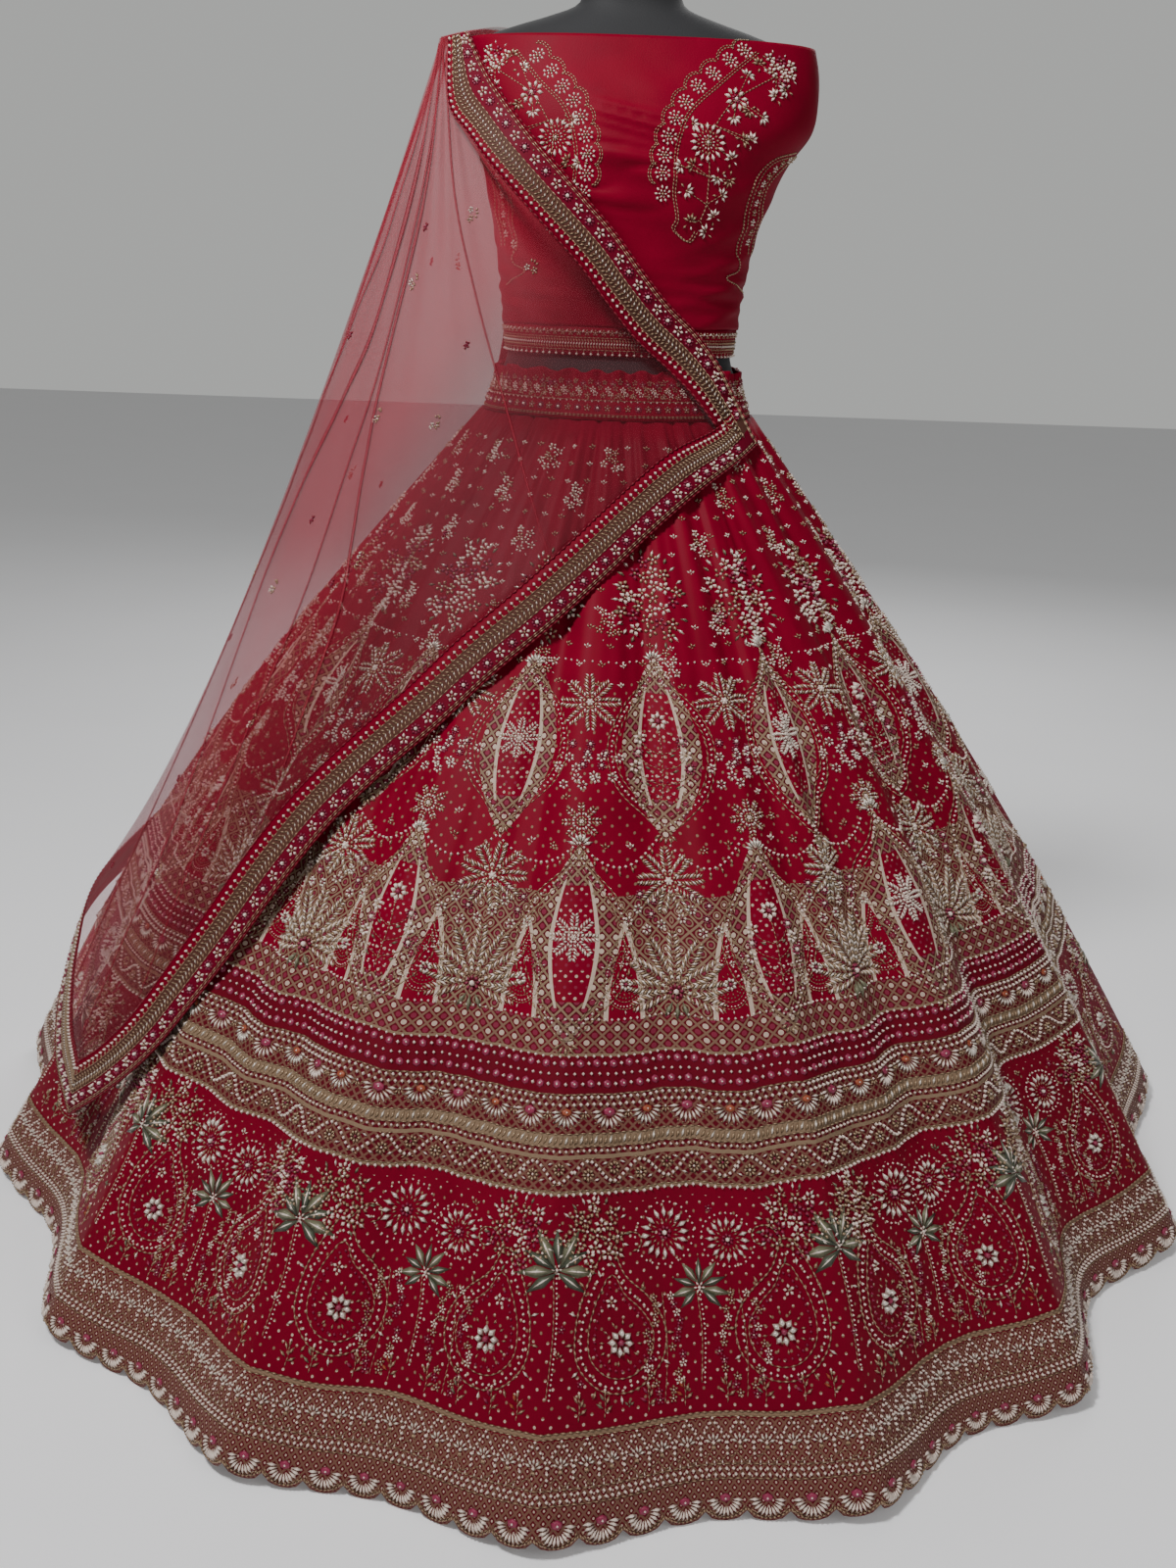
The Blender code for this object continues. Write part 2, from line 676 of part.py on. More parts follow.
def build_fall(points, collection):
    normals = grid_normals(points)
    rows, last = points.shape[0] - 1, points.shape[1] - 1
    left, right = last - FALL_SIDE_COLUMNS, FALL_SIDE_COLUMNS

    def piece(name, rows_used, columns, seams, thickness, finish):
        part = (slice(rows_used[0], rows_used[1] + 1), slice(columns[0], columns[1] + 1))
        sheet_piece(name, points[part], normals[part], thickness, seams, finish, collection)

    piece("dupatta_net_back", (0, rows - 1), (right, left), (True,) * 4, NET, "crimson_net")
    seams = (True, False, False, True)
    piece("dupatta_border_back_right", (0, rows), (0, right), seams, BORDER, "gold_border")
    seams = (True, False, True, False)
    piece("dupatta_border_back_left", (0, rows), (left, last), seams, BORDER, "gold_border")
    seams = (True, False, True, True)
    piece("dupatta_border_back_end", (rows - 1, rows), (right, left), seams, BORDER, "gold_border")


def build_dupatta(collection):
    points = build_tent(collection)
    pins = np.array([tuple(pin) for pin in BACK_START])
    start = smooth_line(pins, np.linspace(0, 1, points.shape[1]))[0]
    fall = fall_grid(start)
    build_tuck(points, fall, collection)
    build_fall(fall, collection)


def main():
    clear_scene()
    collection = bpy.data.collections.new("lehenga_choli")
    bpy.context.scene.collection.children.link(collection)
    folds = all_folds()
    for k, fold in enumerate(folds):
        following = folds[k + 1].angle if k + 1 < len(folds) else folds[0].angle + 360
        build_kali(k + 1, fold, following, collection)
    build_waistband(collection)
    build_choli(collection)
    build_torso(collection)
    build_stand(collection)
    build_dupatta(collection)


main()
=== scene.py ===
"""Lehenga choli with its dupatta on a limbless dress form.

Each cloth is a thin shell over its CAD solids, drawn from the same sizes, and the sewing on it is laid
stitch by stitch in the cloth's own coordinates. Angles go round the body in degrees from the front.
"""
import json
import math

import bpy
import numpy as np
from mathutils import Euler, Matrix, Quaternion, Vector

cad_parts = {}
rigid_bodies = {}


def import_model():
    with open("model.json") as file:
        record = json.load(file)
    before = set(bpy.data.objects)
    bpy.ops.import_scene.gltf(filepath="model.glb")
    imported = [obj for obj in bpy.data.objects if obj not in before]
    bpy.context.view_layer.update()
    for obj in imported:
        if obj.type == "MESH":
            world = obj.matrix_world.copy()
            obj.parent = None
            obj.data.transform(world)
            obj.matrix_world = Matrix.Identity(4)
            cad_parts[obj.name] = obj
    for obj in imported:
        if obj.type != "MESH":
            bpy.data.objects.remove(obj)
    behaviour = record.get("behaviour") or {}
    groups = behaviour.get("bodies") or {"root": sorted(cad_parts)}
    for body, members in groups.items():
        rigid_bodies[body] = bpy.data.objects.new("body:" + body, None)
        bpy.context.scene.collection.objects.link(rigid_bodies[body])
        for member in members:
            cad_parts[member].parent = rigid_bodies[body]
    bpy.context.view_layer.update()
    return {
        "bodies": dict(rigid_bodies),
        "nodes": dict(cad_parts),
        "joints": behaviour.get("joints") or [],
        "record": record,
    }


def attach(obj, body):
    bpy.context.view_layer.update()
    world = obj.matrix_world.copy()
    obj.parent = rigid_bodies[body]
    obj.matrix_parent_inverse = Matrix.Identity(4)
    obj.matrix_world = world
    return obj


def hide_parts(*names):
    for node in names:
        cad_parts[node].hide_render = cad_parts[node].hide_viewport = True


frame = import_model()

bl_info = {
    "name": "Lehenga choli",
    "version": (1, 0, 0),
    "blender": (4, 5, 0),
    "location": "View3D > Sidebar > Lehenga",
    "description": "Makes the cloth, sewing, dress form and studio of a lehenga choli with its dupatta",
    "category": "Add Mesh",
}

# Lehenga, as in the part's source: the waistband, the seam's half sizes and the folds
BAND_TOP, BAND_SEAM, SEAM = 0.998, 0.945, 0.0003
SEAM_HALF_WIDTH, SEAM_HALF_DEPTH = 0.162, 0.142
FOLD_GROWTH, RIDGE_LIFT, SCALLOP_DEPTH = 1.35, 0.010, 0.012
SCALLOPS, SCALLOP_STEPS = 8, 6
SKIRT_SLANT = 1.15
BAND_RUFFLES, RUFFLE_DEPTH = 24, 0.0022
# Gathers under the waistband: how far down they reach, as drops, and the depth of the fine ones
GATHER_REACH, FINE_GATHER_REACH, FINE_GATHER, RIPPLE = 0.40, 0.26, 0.0013, 0.0016
# A fold's angle, its outer ridge at the hem, the floor of the valley after it, and its belly
FRONT_FOLDS = [
    (-73.4, 0.781, 0.731, 0.026), (-46.3, 0.797, 0.771, 0.026), (-24.7, 0.821, 0.789, 0.026),
    (-3.1, 0.832, 0.784, 0.026), (19.8, 0.818, 0.758, 0.026), (40.7, 0.795, 0.716, 0.026),
    (66.6, 0.778, 0.731, 0.026), (96.4, 0.813, 0.752, 0.026),
]
LEFT_FOLD = (262.8, 0.815, 0.752, 0.055)
BACK_FOLDS, BACK_SIZES = 6, (0.790, 0.738, 0.026)

# Choli: height, half widths to the right and left, depths to the front and back
CHOLI = np.array([
    (1.014, 0.136, 0.136, 0.114, 0.102), (1.045, 0.139, 0.139, 0.115, 0.102),
    (1.090, 0.144, 0.143, 0.116, 0.100), (1.140, 0.153, 0.150, 0.120, 0.098),
    (1.185, 0.168, 0.158, 0.127, 0.098), (1.225, 0.186, 0.168, 0.130, 0.098),
    (1.262, 0.212, 0.180, 0.124, 0.096), (1.295, 0.217, 0.186, 0.112, 0.092),
    (1.325, 0.216, 0.188, 0.098, 0.086), (1.350, 0.210, 0.186, 0.088, 0.078),
])
CHOLI_BOTTOM, CHOLI_TOP, HEM_BAND_TOP, HEM_BAND_GAP = 1.014, 1.350, 1.045, 0.00015
SQUARENESS = 2.4
# Walls of the cloths
SILK, NET_WALL, BORDER_WALL = 0.0024, 0.0010, 0.0016
HIPS = np.array([
    (0.740, 0.122, 0.122, 0.092, 0.092), (0.752, 0.150, 0.150, 0.118, 0.118),
    (0.850, 0.154, 0.154, 0.128, 0.124), (0.925, 0.150, 0.150, 0.130, 0.120),
])
SHOULDERS = np.array([
    (1.348, 0.176, 0.176, 0.076, 0.068), (1.362, 0.140, 0.140, 0.066, 0.062),
    (1.374, 0.100, 0.100, 0.058, 0.058), (1.386, 0.066, 0.066, 0.053, 0.054),
    (1.402, 0.055, 0.055, 0.051, 0.052), (1.450, 0.053, 0.053, 0.050, 0.051),
])
EASE, SEAT = 0.0034, 0.0006

# Dupatta: its border, and the routes of its edges as angle, height and stand-off
BORDER = 0.055
STAND_OFF = 0.0075
CHEST_EDGE = [
    (63.8, 0.919, 0.008), (60.8, 0.964, 0.008), (46.5, 1.027, 0.008), (20.0, 1.083, 0.006),
    (-4.6, 1.148, 0.006), (-27.0, 1.204, 0.006), (-49.0, 1.266, 0.007), (-76.0, 1.345, 0.008),
]
END_EDGE = [
    (63.8, 0.919, 0.008), (38.4, 0.892, 0.008), (17.9, 0.857, 0.008), (-7.7, 0.762, 0.008),
    (-18.7, 0.704, 0.008), (-27.2, 0.638, 0.008), (-33.8, 0.582, 0.008), (-39.6, 0.510, 0.008),
    (-42.6, 0.430, 0.008), (-45.6, 0.352, 0.008), (-50.0, 0.258, 0.008), (-57.4, 0.172, 0.009),
]
SIDE_EDGE = [
    (-57.4, 0.172, 0.009), (-65.4, 0.172, 0.011), (-74.0, 0.188, 0.012), (-83.0, 0.214, 0.014),
    (-95.0, 0.256, 0.016), (-108.0, 0.322, 0.018), (-120.0, 0.420, 0.018), (-130.0, 0.560, 0.018),
    (-138.0, 0.740, 0.020), (-143.0, 0.930, 0.026), (-141.0, 1.100, 0.028), (-122.0, 1.240, 0.026),
]
END_COLUMNS, SIDE_COLUMNS, TENT_ROWS = 15, 13, 12
GATHER_LINE = [
    (-0.181, -0.045, 1.353), (-0.203, -0.040, 1.349), (-0.210, -0.012, 1.349),
    (-0.208, 0.020, 1.349), (-0.200, 0.048, 1.349),
]
BACK_START = [(-0.104, 0.092, 1.362), (-0.135, 0.092, 1.359), (-0.163, 0.088, 1.354)]
PLEATS, PLEAT_DEPTH, PLEAT_FADE = 6, 0.0045, 0.72
FALL_ROWS, FALL_SIDE = 10, 2
FALL_FOLDS, FALL_FOLD_DEPTH = 6, 0.014
FALL_RIGHT, FALL_LEFT, FALL_END, FALL_OFF = -203.0, -169.0, 0.330, 0.042
TUCK_RISE = 0.009

# The photograph's camera
CAMERA_PLACE = (-0.019, -1.945, 1.10)
CAMERA_DOWN, CAMERA_ROLL = 18.05, 2.0
CAMERA_LENS, CAMERA_SENSOR = 35.775, 36.0


# Settings that a user would change

class ClothSettings(bpy.types.PropertyGroup):
    """Colours and folds of the cloth."""
    silk: bpy.props.FloatVectorProperty(
        name="Silk", description="Colour of the lehenga and choli", subtype="COLOR",
        size=3, min=0, max=1, default=(0.212, 0.0006, 0.0160))
    net: bpy.props.FloatVectorProperty(
        name="Net", description="Colour of the dupatta's net", subtype="COLOR",
        size=3, min=0, max=1, default=(0.125, 0.0010, 0.0090))
    net_cover: bpy.props.FloatProperty(
        name="Net cover", description="How much one face of the net hides", default=0.150, min=0, max=1)
    crease: bpy.props.FloatProperty(
        name="Crease depth", description="Depth of the lehenga's soft creases",
        unit="LENGTH", default=0.0080, min=0, max=0.02)
    gather: bpy.props.FloatProperty(
        name="Gather depth", description="Depth of the gathers under the waistband",
        unit="LENGTH", default=0.0036, min=0, max=0.01)


class SewingSettings(bpy.types.PropertyGroup):
    """Colours of the threads and beads."""
    gold: bpy.props.FloatVectorProperty(
        name="Gold", description="Colour of the metal thread", subtype="COLOR",
        size=3, min=0, max=1, default=(0.40, 0.28, 0.18))
    ivory: bpy.props.FloatVectorProperty(
        name="Ivory", description="Colour of the round beads", subtype="COLOR",
        size=3, min=0, max=1, default=(0.82, 0.68, 0.59))
    pink: bpy.props.FloatVectorProperty(
        name="Pink", description="Colour of the round flowers", subtype="COLOR",
        size=3, min=0, max=1, default=(0.25, 0.017, 0.058))


class StudioSettings(bpy.types.PropertyGroup):
    """Floor and lights."""
    floor: bpy.props.FloatVectorProperty(
        name="Floor", description="Colour of the floor", subtype="COLOR",
        size=3, min=0, max=1, default=(0.93, 0.93, 0.95))
    key_power: bpy.props.FloatProperty(
        name="Key light", description="Power of the main light", unit="POWER", default=78.0, min=0)


# Shapes shared by the cloths

def between(low, high, share):
    return low + (high - low) * share


def on_axis(angle, radius, height):
    """The point at an angle round the body, or one for each item of arrays."""
    turn = np.radians(angle)
    return np.stack(np.broadcast_arrays(radius * np.sin(turn), -radius * np.cos(turn), height), -1)


def all_folds():
    start, end = FRONT_FOLDS[-1][0], LEFT_FOLD[0]
    step = (end - start) / (BACK_FOLDS + 1)
    behind = [(start + step * (k + 1), *BACK_SIZES) for k in range(BACK_FOLDS)]
    return np.array(FRONT_FOLDS + behind + [LEFT_FOLD])


FOLDS = all_folds()
KALIS = len(FOLDS)
FOLD_ENDS = np.append(FOLDS[:, 0], FOLDS[0, 0] + 360)


def fold_place(angle):
    """Ridge, belly and valley depth of the fold at an angle, how far across it that is, and its number."""
    turned = (np.asarray(angle, float) - FOLD_ENDS[0]) % 360 + FOLD_ENDS[0]
    number = np.clip(np.searchsorted(FOLD_ENDS, turned, side="right") - 1, 0, KALIS - 1)
    after = (number + 1) % KALIS
    across = (turned - FOLD_ENDS[number]) / (FOLD_ENDS[number + 1] - FOLD_ENDS[number])
    ridge = between(FOLDS[number, 1], FOLDS[after, 1], across)
    belly = between(FOLDS[number, 3], FOLDS[after, 3], across)
    depth = (FOLDS[number, 1] + FOLDS[after, 1]) / 2 - FOLDS[number, 2]
    return ridge, belly, depth, across, number


def ellipse_radius(angle, half_width, half_depth):
    turn = np.radians(angle)
    return 1 / np.hypot(np.sin(turn) / half_width, np.cos(turn) / half_depth)


def skirt_envelope(angle, drop):
    """The radius over the ridges. Drop is 0 at the waistband's seam and 1 at the hem."""
    ridge, belly, _, _, _ = fold_place(angle)
    waist = ellipse_radius(angle, SEAM_HALF_WIDTH, SEAM_HALF_DEPTH)
    return between(waist, ridge, drop) + belly * np.sin(np.pi * drop)


def skirt_radius(angle, drop):
    """The lehenga's radius with its valleys, its gathers and the soft creases that run down it."""
    cloth = bpy.context.scene.lehenga_cloth
    _, _, depth, across, number = fold_place(angle)
    down = np.clip(drop, 0, 1)
    wave = np.sin(np.pi * across)
    radius = skirt_envelope(angle, down)
    radius = radius - depth * down ** FOLD_GROWTH * between(wave, wave ** 2, 0.45)
    # Gathers under the waistband, two to a kali, and finer ones among them
    turn = 2 * np.pi * across
    gathers = np.clip(1 - down / GATHER_REACH, 0, 1)
    radius = radius + cloth.gather * gathers * np.cos(2 * turn)
    fine = np.clip(1 - down / FINE_GATHER_REACH, 0, 1)
    radius = radius + FINE_GATHER * fine * np.cos(5 * turn + 2.0 * wave * np.sin(2.4 * number))
    # Creases and ripples that run down the cloth, different on every kali
    phase = 2.399 * number
    swell = np.sin(np.pi * np.clip(down * 1.04, 0, 1)) ** 0.7
    crease = np.sin(1.3 * turn + phase + 2.2 * down)
    crease = crease + 0.6 * np.sin(2.15 * turn + 1.7 * phase - 3.1 * down)
    radius = radius + cloth.crease * wave * swell * crease
    ripple = np.sin(7.0 * turn + 1.3 * phase + 9.0 * down) * np.sin(5.0 * down + phase)
    return radius + RIPPLE * wave * swell * ripple


def hem_height(across):
    return SCALLOP_DEPTH + RIDGE_LIFT * np.abs(np.cos(np.pi * across)) ** 6


def skirt_point(angle, drop):
    """A point of the lehenga. Past a drop of 1 it goes on straight down, for the scallops."""
    across = fold_place(angle)[3]
    height = between(BAND_SEAM - SEAM, hem_height(across), np.clip(drop, 0, 1))
    height = height - np.maximum(drop - 1, 0) * SKIRT_SLANT
    return on_axis(angle, skirt_radius(angle, drop), height)


def section_radius(section, angle):
    """The radius of a rounded section: half widths to the right and left, depths to front and back."""
    right, left, front, back = (section[..., k] for k in range(4))
    turn = np.radians(angle)
    width = np.where(np.sin(turn) > 0, right, left)
    depth = np.where(np.cos(turn) > 0, front, back)
    across = np.abs(np.sin(turn) / width) ** SQUARENESS
    along = np.abs(np.cos(turn) / depth) ** SQUARENESS
    return (across + along) ** (-1 / SQUARENESS)


def smooth_step(start, end, leaving, arriving, t):
    """A curve from one value to the next, with its slopes at both ends."""
    return (start * (1 + 2 * t) * (1 - t) ** 2 + leaving * t * (1 - t) ** 2
            + end * t ** 2 * (3 - 2 * t) + arriving * t ** 2 * (t - 1))


def smooth_read(table, height):
    """A table of sections read at heights on a smooth curve through its rows."""
    heights, values = table[:, 0], table[:, 1:]
    slopes = np.gradient(values, heights, axis=0)
    height = np.clip(np.asarray(height, float), heights[0], heights[-1])
    k = np.clip(np.searchsorted(heights, height, side="right") - 1, 0, len(heights) - 2)
    span = heights[k + 1] - heights[k]
    t = ((height - heights[k]) / span)[..., None]
    span = span[..., None]
    return smooth_step(values[k], values[k + 1], slopes[k] * span, slopes[k + 1] * span, t)


def choli_radius(angle, height):
    return section_radius(smooth_read(CHOLI, height), angle)


def band_radius(angle, height):
    """The waistband leans in from the skirt's seam to the choli's size at the waist."""
    share = (height - BAND_SEAM) / (CHOLI_BOTTOM - BAND_SEAM)
    seam = ellipse_radius(angle, SEAM_HALF_WIDTH, SEAM_HALF_DEPTH)
    return between(seam, section_radius(CHOLI[0, 1:], angle), share)


class Cloth:
    """A grid of points with a coordinate across it (u) and one down it (v), and its outward side."""

    def __init__(self, u, v, points, inside=(0.0, 0.0, 0.7), ring=False, marks=None):
        self.u, self.v, self.points, self.ring = np.asarray(u, float), np.asarray(v, float), points, ring
        self.marks = self.u if marks is None else marks
        wide = np.concatenate([points[:, -2:-1], points, points[:, 1:2]], 1) if ring else points
        steps = self.u
        if ring:
            steps = np.concatenate([[self.u[0] - (self.u[-1] - self.u[-2])], self.u,
                                    [self.u[-1] + (self.u[1] - self.u[0])]])
        across = np.gradient(wide, steps, axis=1)
        self.across = across[:, 1:-1] if ring else across
        self.way = 1.0 if self.v[-1] > self.v[0] else -1.0
        self.down = np.gradient(points, self.v, axis=0) * self.way
        normals = np.cross(self.down, self.across)
        normals /= np.maximum(np.linalg.norm(normals, axis=2, keepdims=True), 1e-12)
        away = (points - np.array(inside)) * np.array((1.0, 1.0, 0.25))
        self.flipped = np.sum(normals * away) < 0
        self.normals = -normals if self.flipped else normals

    def read(self, values, u, v):
        """Grid values read between the points."""
        if self.ring:
            u = (u - self.u[0]) % (self.u[-1] - self.u[0]) + self.u[0]
        fu = np.interp(u, self.u, np.arange(len(self.u)))
        fv = np.interp(v * self.way, self.v * self.way, np.arange(len(self.v)))
        i, j = np.minimum(fu.astype(int), len(self.u) - 2), np.minimum(fv.astype(int), len(self.v) - 2)
        s, t = (fu - i)[..., None], (fv - j)[..., None]
        upper = between(values[j, i], values[j, i + 1], s)
        lower = between(values[j + 1, i], values[j + 1, i + 1], s)
        return between(upper, lower, t)

    def frames(self, u, v):
        """Points with unit vectors across, up and outward."""
        normal = unit(self.read(self.normals, u, v))
        right = self.read(self.across, u, v)
        right = unit(right - normal * np.sum(right * normal, -1, keepdims=True))
        up = np.cross(normal, right)
        down = self.read(self.down, u, v)
        up = np.where(np.sum(up * down, -1, keepdims=True) > 0, -up, up)
        return self.read(self.points, u, v), right, up, normal

    def scale(self, u, v):
        """Metres for each unit of u and of v."""
        return (np.linalg.norm(self.read(self.across, u, v), axis=-1),
                np.linalg.norm(self.read(self.down, u, v), axis=-1))


def unit(vectors):
    return vectors / np.maximum(np.linalg.norm(vectors, axis=-1, keepdims=True), 1e-12)


def smooth_line(knots, shares):
    """Points along a line of knots at shares of its length, rounded by a Catmull-Rom curve."""
    knots = np.asarray(knots, dtype=float)
    padded = np.vstack([2 * knots[0] - knots[1], knots, 2 * knots[-1] - knots[-2]])
    fine = []
    for k in range(1, len(padded) - 2):
        a, b, c, d = padded[k - 1:k + 3]
        for t in np.linspace(0, 1, 24, endpoint=False):
            fine.append(0.5 * (2 * b + (c - a) * t + (2 * a - 5 * b + 4 * c - d) * t ** 2
                               + (3 * b - a - 3 * c + d) * t ** 3))
    fine = np.array(fine + [knots[-1]])
    run = np.concatenate([[0], np.cumsum(np.linalg.norm(np.diff(fine, axis=0), axis=1))])
    wanted = np.asarray(shares) * run[-1]
    return np.stack([np.interp(wanted, run, fine[:, k]) for k in range(fine.shape[1])], 1), run[-1]


# The dupatta's grids, as in the part's source

def support_radius(angle, height):
    """The radius of whatever the dupatta lies on at a height."""
    if height > CHOLI_BOTTOM:
        at = min(height, CHOLI_TOP)
        section = np.array([np.interp(at, CHOLI[:, 0], CHOLI[:, k]) for k in range(1, 5)])
        return section_radius(section, angle)
    if height > BAND_SEAM:
        return band_radius(angle, height) + RUFFLE_DEPTH
    drop = (BAND_SEAM - height) / (BAND_SEAM - SCALLOP_DEPTH - RIDGE_LIFT)
    return skirt_envelope(angle, drop)


def route(stations, shares):
    knots = [on_axis(a, support_radius(a, h) + off, h) for a, h, off in stations]
    return smooth_line(knots, shares)


def pushed_out(point, off=STAND_OFF):
    """The point moved out of the body, if it lies closer than the stand-off."""
    x, y, z = point
    if z > CHOLI_TOP + off:
        return point
    angle = math.degrees(math.atan2(x, -y))
    return on_axis(angle, max(math.hypot(x, y), support_radius(angle, z) + off), z)


def grid_normals(points, inside=(0.0, 0.0, 0.7)):
    normals = unit(np.cross(np.gradient(points, axis=0), np.gradient(points, axis=1)))
    away = (points - np.array(inside)) * np.array((1.0, 1.0, 0.25))
    return -normals if np.sum(normals * away) < 0 else normals


def settled(points, fixed, off, rounds):
    """The grid drawn tight between its fixed points and kept outside the body."""
    points = points.copy()
    loose = list(zip(*np.where(~fixed)))
    for _ in range(rounds):
        mean = points.copy()
        mean[1:-1, 1:-1] = 0.38 * (points[:-2, 1:-1] + points[2:, 1:-1])
        mean[1:-1, 1:-1] += 0.12 * (points[1:-1, :-2] + points[1:-1, 2:])
        points = np.where(fixed[..., None], points, mean)
        for r, c in loose:
            points[r, c] = pushed_out(points[r, c], off)
    return points


def inner_line(points, toward, width):
    """The line at a border's inner side, its width away from the edge and mitred at a corner."""
    line = points.copy()
    for k, point in enumerate(points):
        sides = []
        for step in (points[k] - points[k - 1] if k else None,
                     points[k + 1] - points[k] if k + 1 < len(points) else None):
            if step is None:
                continue
            ahead = unit(step)
            side = toward[k] - point
            sides.append(unit(side - ahead * side.dot(ahead)))
        side = unit(sum(sides))
        line[k] = point + side * width / max(0.6, side.dot(sides[0]))
    return line


def tent_grid():
    """The front stretch: rows run from the outer edges up to the shoulder, columns across the cloth."""
    turn = BORDER / route(END_EDGE, [0, 1])[1]
    end_shares = [0, turn] + list(np.linspace(turn, 1, END_COLUMNS)[1:])
    side_shares = list(np.linspace(0, 1, SIDE_COLUMNS)[1:])
    lower = np.vstack([route(END_EDGE, end_shares)[0], route(SIDE_EDGE, side_shares)[0]])
    columns = len(lower)
    turn = BORDER / route(CHEST_EDGE, [0, 1])[1]
    row_shares = [0, turn] + list(np.linspace(turn, 1, TENT_ROWS)[1:])
    chest = route(CHEST_EDGE, row_shares)[0]
    rows = len(chest)
    pins = np.array(GATHER_LINE)
    gather = np.vstack([pins[:1], smooth_line(pins[1:], np.linspace(0, 1, columns - 1))[0]])
    chest[-1] = gather[0]
    points = np.zeros((rows, columns, 3))
    points[0], points[:, 0], points[-1] = lower, chest, gather
    points[1, 1:] = inner_line(lower, gather, BORDER)[1:]
    lane = inner_line(chest[:-1], np.repeat(points[1:2, columns // 2], rows - 1, 0), BORDER)
    points[1:-1, 1] = lane[1:]
    for c in range(2, columns):
        for r in range(2, rows - 1):
            points[r, c] = between(points[1, c], gather[c], (r - 1) / (rows - 2))
    for r in range(1, rows - 1):
        for c in range(1, columns):
            points[r, c] = pushed_out(points[r, c])
    fixed = np.zeros((rows, columns), dtype=bool)
    fixed[0] = fixed[1] = fixed[-1] = True
    fixed[:, 0] = fixed[:, 1] = fixed[:, -1] = True
    points = settled(points, fixed, STAND_OFF, 60)
    normals = grid_normals(points)
    made = points.copy()
    for r in range(1, rows):
        near = (r - 1) / (rows - 2)
        strength = PLEAT_DEPTH * max(0.0, (near - (1 - PLEAT_FADE)) / PLEAT_FADE)
        for c in range(2, columns - 1):
            wave = 0.5 + 0.5 * math.cos(2 * math.pi * PLEATS * (c - 1) / (columns - 2))
            made[r, c] += normals[r, c] * strength * wave
    return made


def fall_grid(columns):
    """The back fall: it hangs from the shoulder down the back, pleated, to its own end."""
    start = smooth_line(BACK_START, np.linspace(0, 1, columns))[0]
    drop = start[0][2] - FALL_END
    downs = list(np.linspace(0, 1 - BORDER / drop, FALL_ROWS)) + [1.0]
    points = np.zeros((len(downs), columns, 3))
    for c, share in enumerate(np.linspace(0, 1, columns)):
        angle = between(FALL_RIGHT, FALL_LEFT, share)
        wave = FALL_FOLD_DEPTH * math.cos(2 * math.pi * FALL_FOLDS * share)
        end = on_axis(angle, support_radius(angle, FALL_END) + FALL_OFF + wave, FALL_END)
        for r, down in enumerate(downs):
            off = between(0.014, FALL_OFF, down) + wave * down
            points[r, c] = pushed_out(between(start[c], end, down), off) if r else start[c]
    return points


def finer(grid, places, axis, corner=None, sharp=None):
    """The grid's lines read at places between them, on smooth curves that may break at a corner."""
    lines = np.moveaxis(grid, axis, 0)
    ahead = np.concatenate([lines[1:], 2 * lines[-1:] - lines[-2:-1]])
    behind = np.concatenate([2 * lines[:1] - lines[1:2], lines[:-1]])
    leaving = (ahead - behind) / 2
    arriving = leaving.copy()
    if corner is not None:
        share = sharp[:, None]
        leaving[corner] = between(leaving[corner], lines[corner + 1] - lines[corner], share)
        arriving[corner] = between(arriving[corner], lines[corner] - lines[corner - 1], share)
    places = np.asarray(places, float)
    k = np.clip(places.astype(int), 0, len(lines) - 2)
    t = (places - k)[:, None, None]
    return np.moveaxis(smooth_step(lines[k], lines[k + 1], leaving[k], arriving[k + 1], t), 0, axis)


def places_between(lines, steps):
    """Places on a grid's lines and evenly between them."""
    return np.arange(0, (lines - 1) * steps + 1) / steps


# Materials

class Value:
    """A number that varies over a surface, so that shader maths can be written as an expression."""

    def __init__(self, finish, link):
        self.finish, self.link = finish, link

    def maths(self, operation, *values):
        return self.finish.node("ShaderNodeMath", {"operation": operation}, dict(enumerate(values)))

    def __add__(self, other):
        return self.maths("ADD", self, other)

    def __sub__(self, other):
        return self.maths("SUBTRACT", self, other)

    def __rsub__(self, other):
        return self.maths("SUBTRACT", other, self)

    def __mul__(self, other):
        return self.maths("MULTIPLY", self, other)

    def __truediv__(self, other):
        return self.maths("DIVIDE", self, other)

    __radd__, __rmul__ = __add__, __mul__

    def fraction(self):
        return self.maths("FRACT", self)

    def size(self):
        return self.maths("ABSOLUTE", self)

    def below(self, limit):
        return self.maths("LESS_THAN", self, limit)

    def above(self, limit):
        return self.maths("GREATER_THAN", self, limit)

    def power(self, exponent):
        return self.maths("POWER", self, exponent)

    def within(self, low, high):
        """1 between two limits and 0 outside them."""
        return self.above(low) * self.below(high)


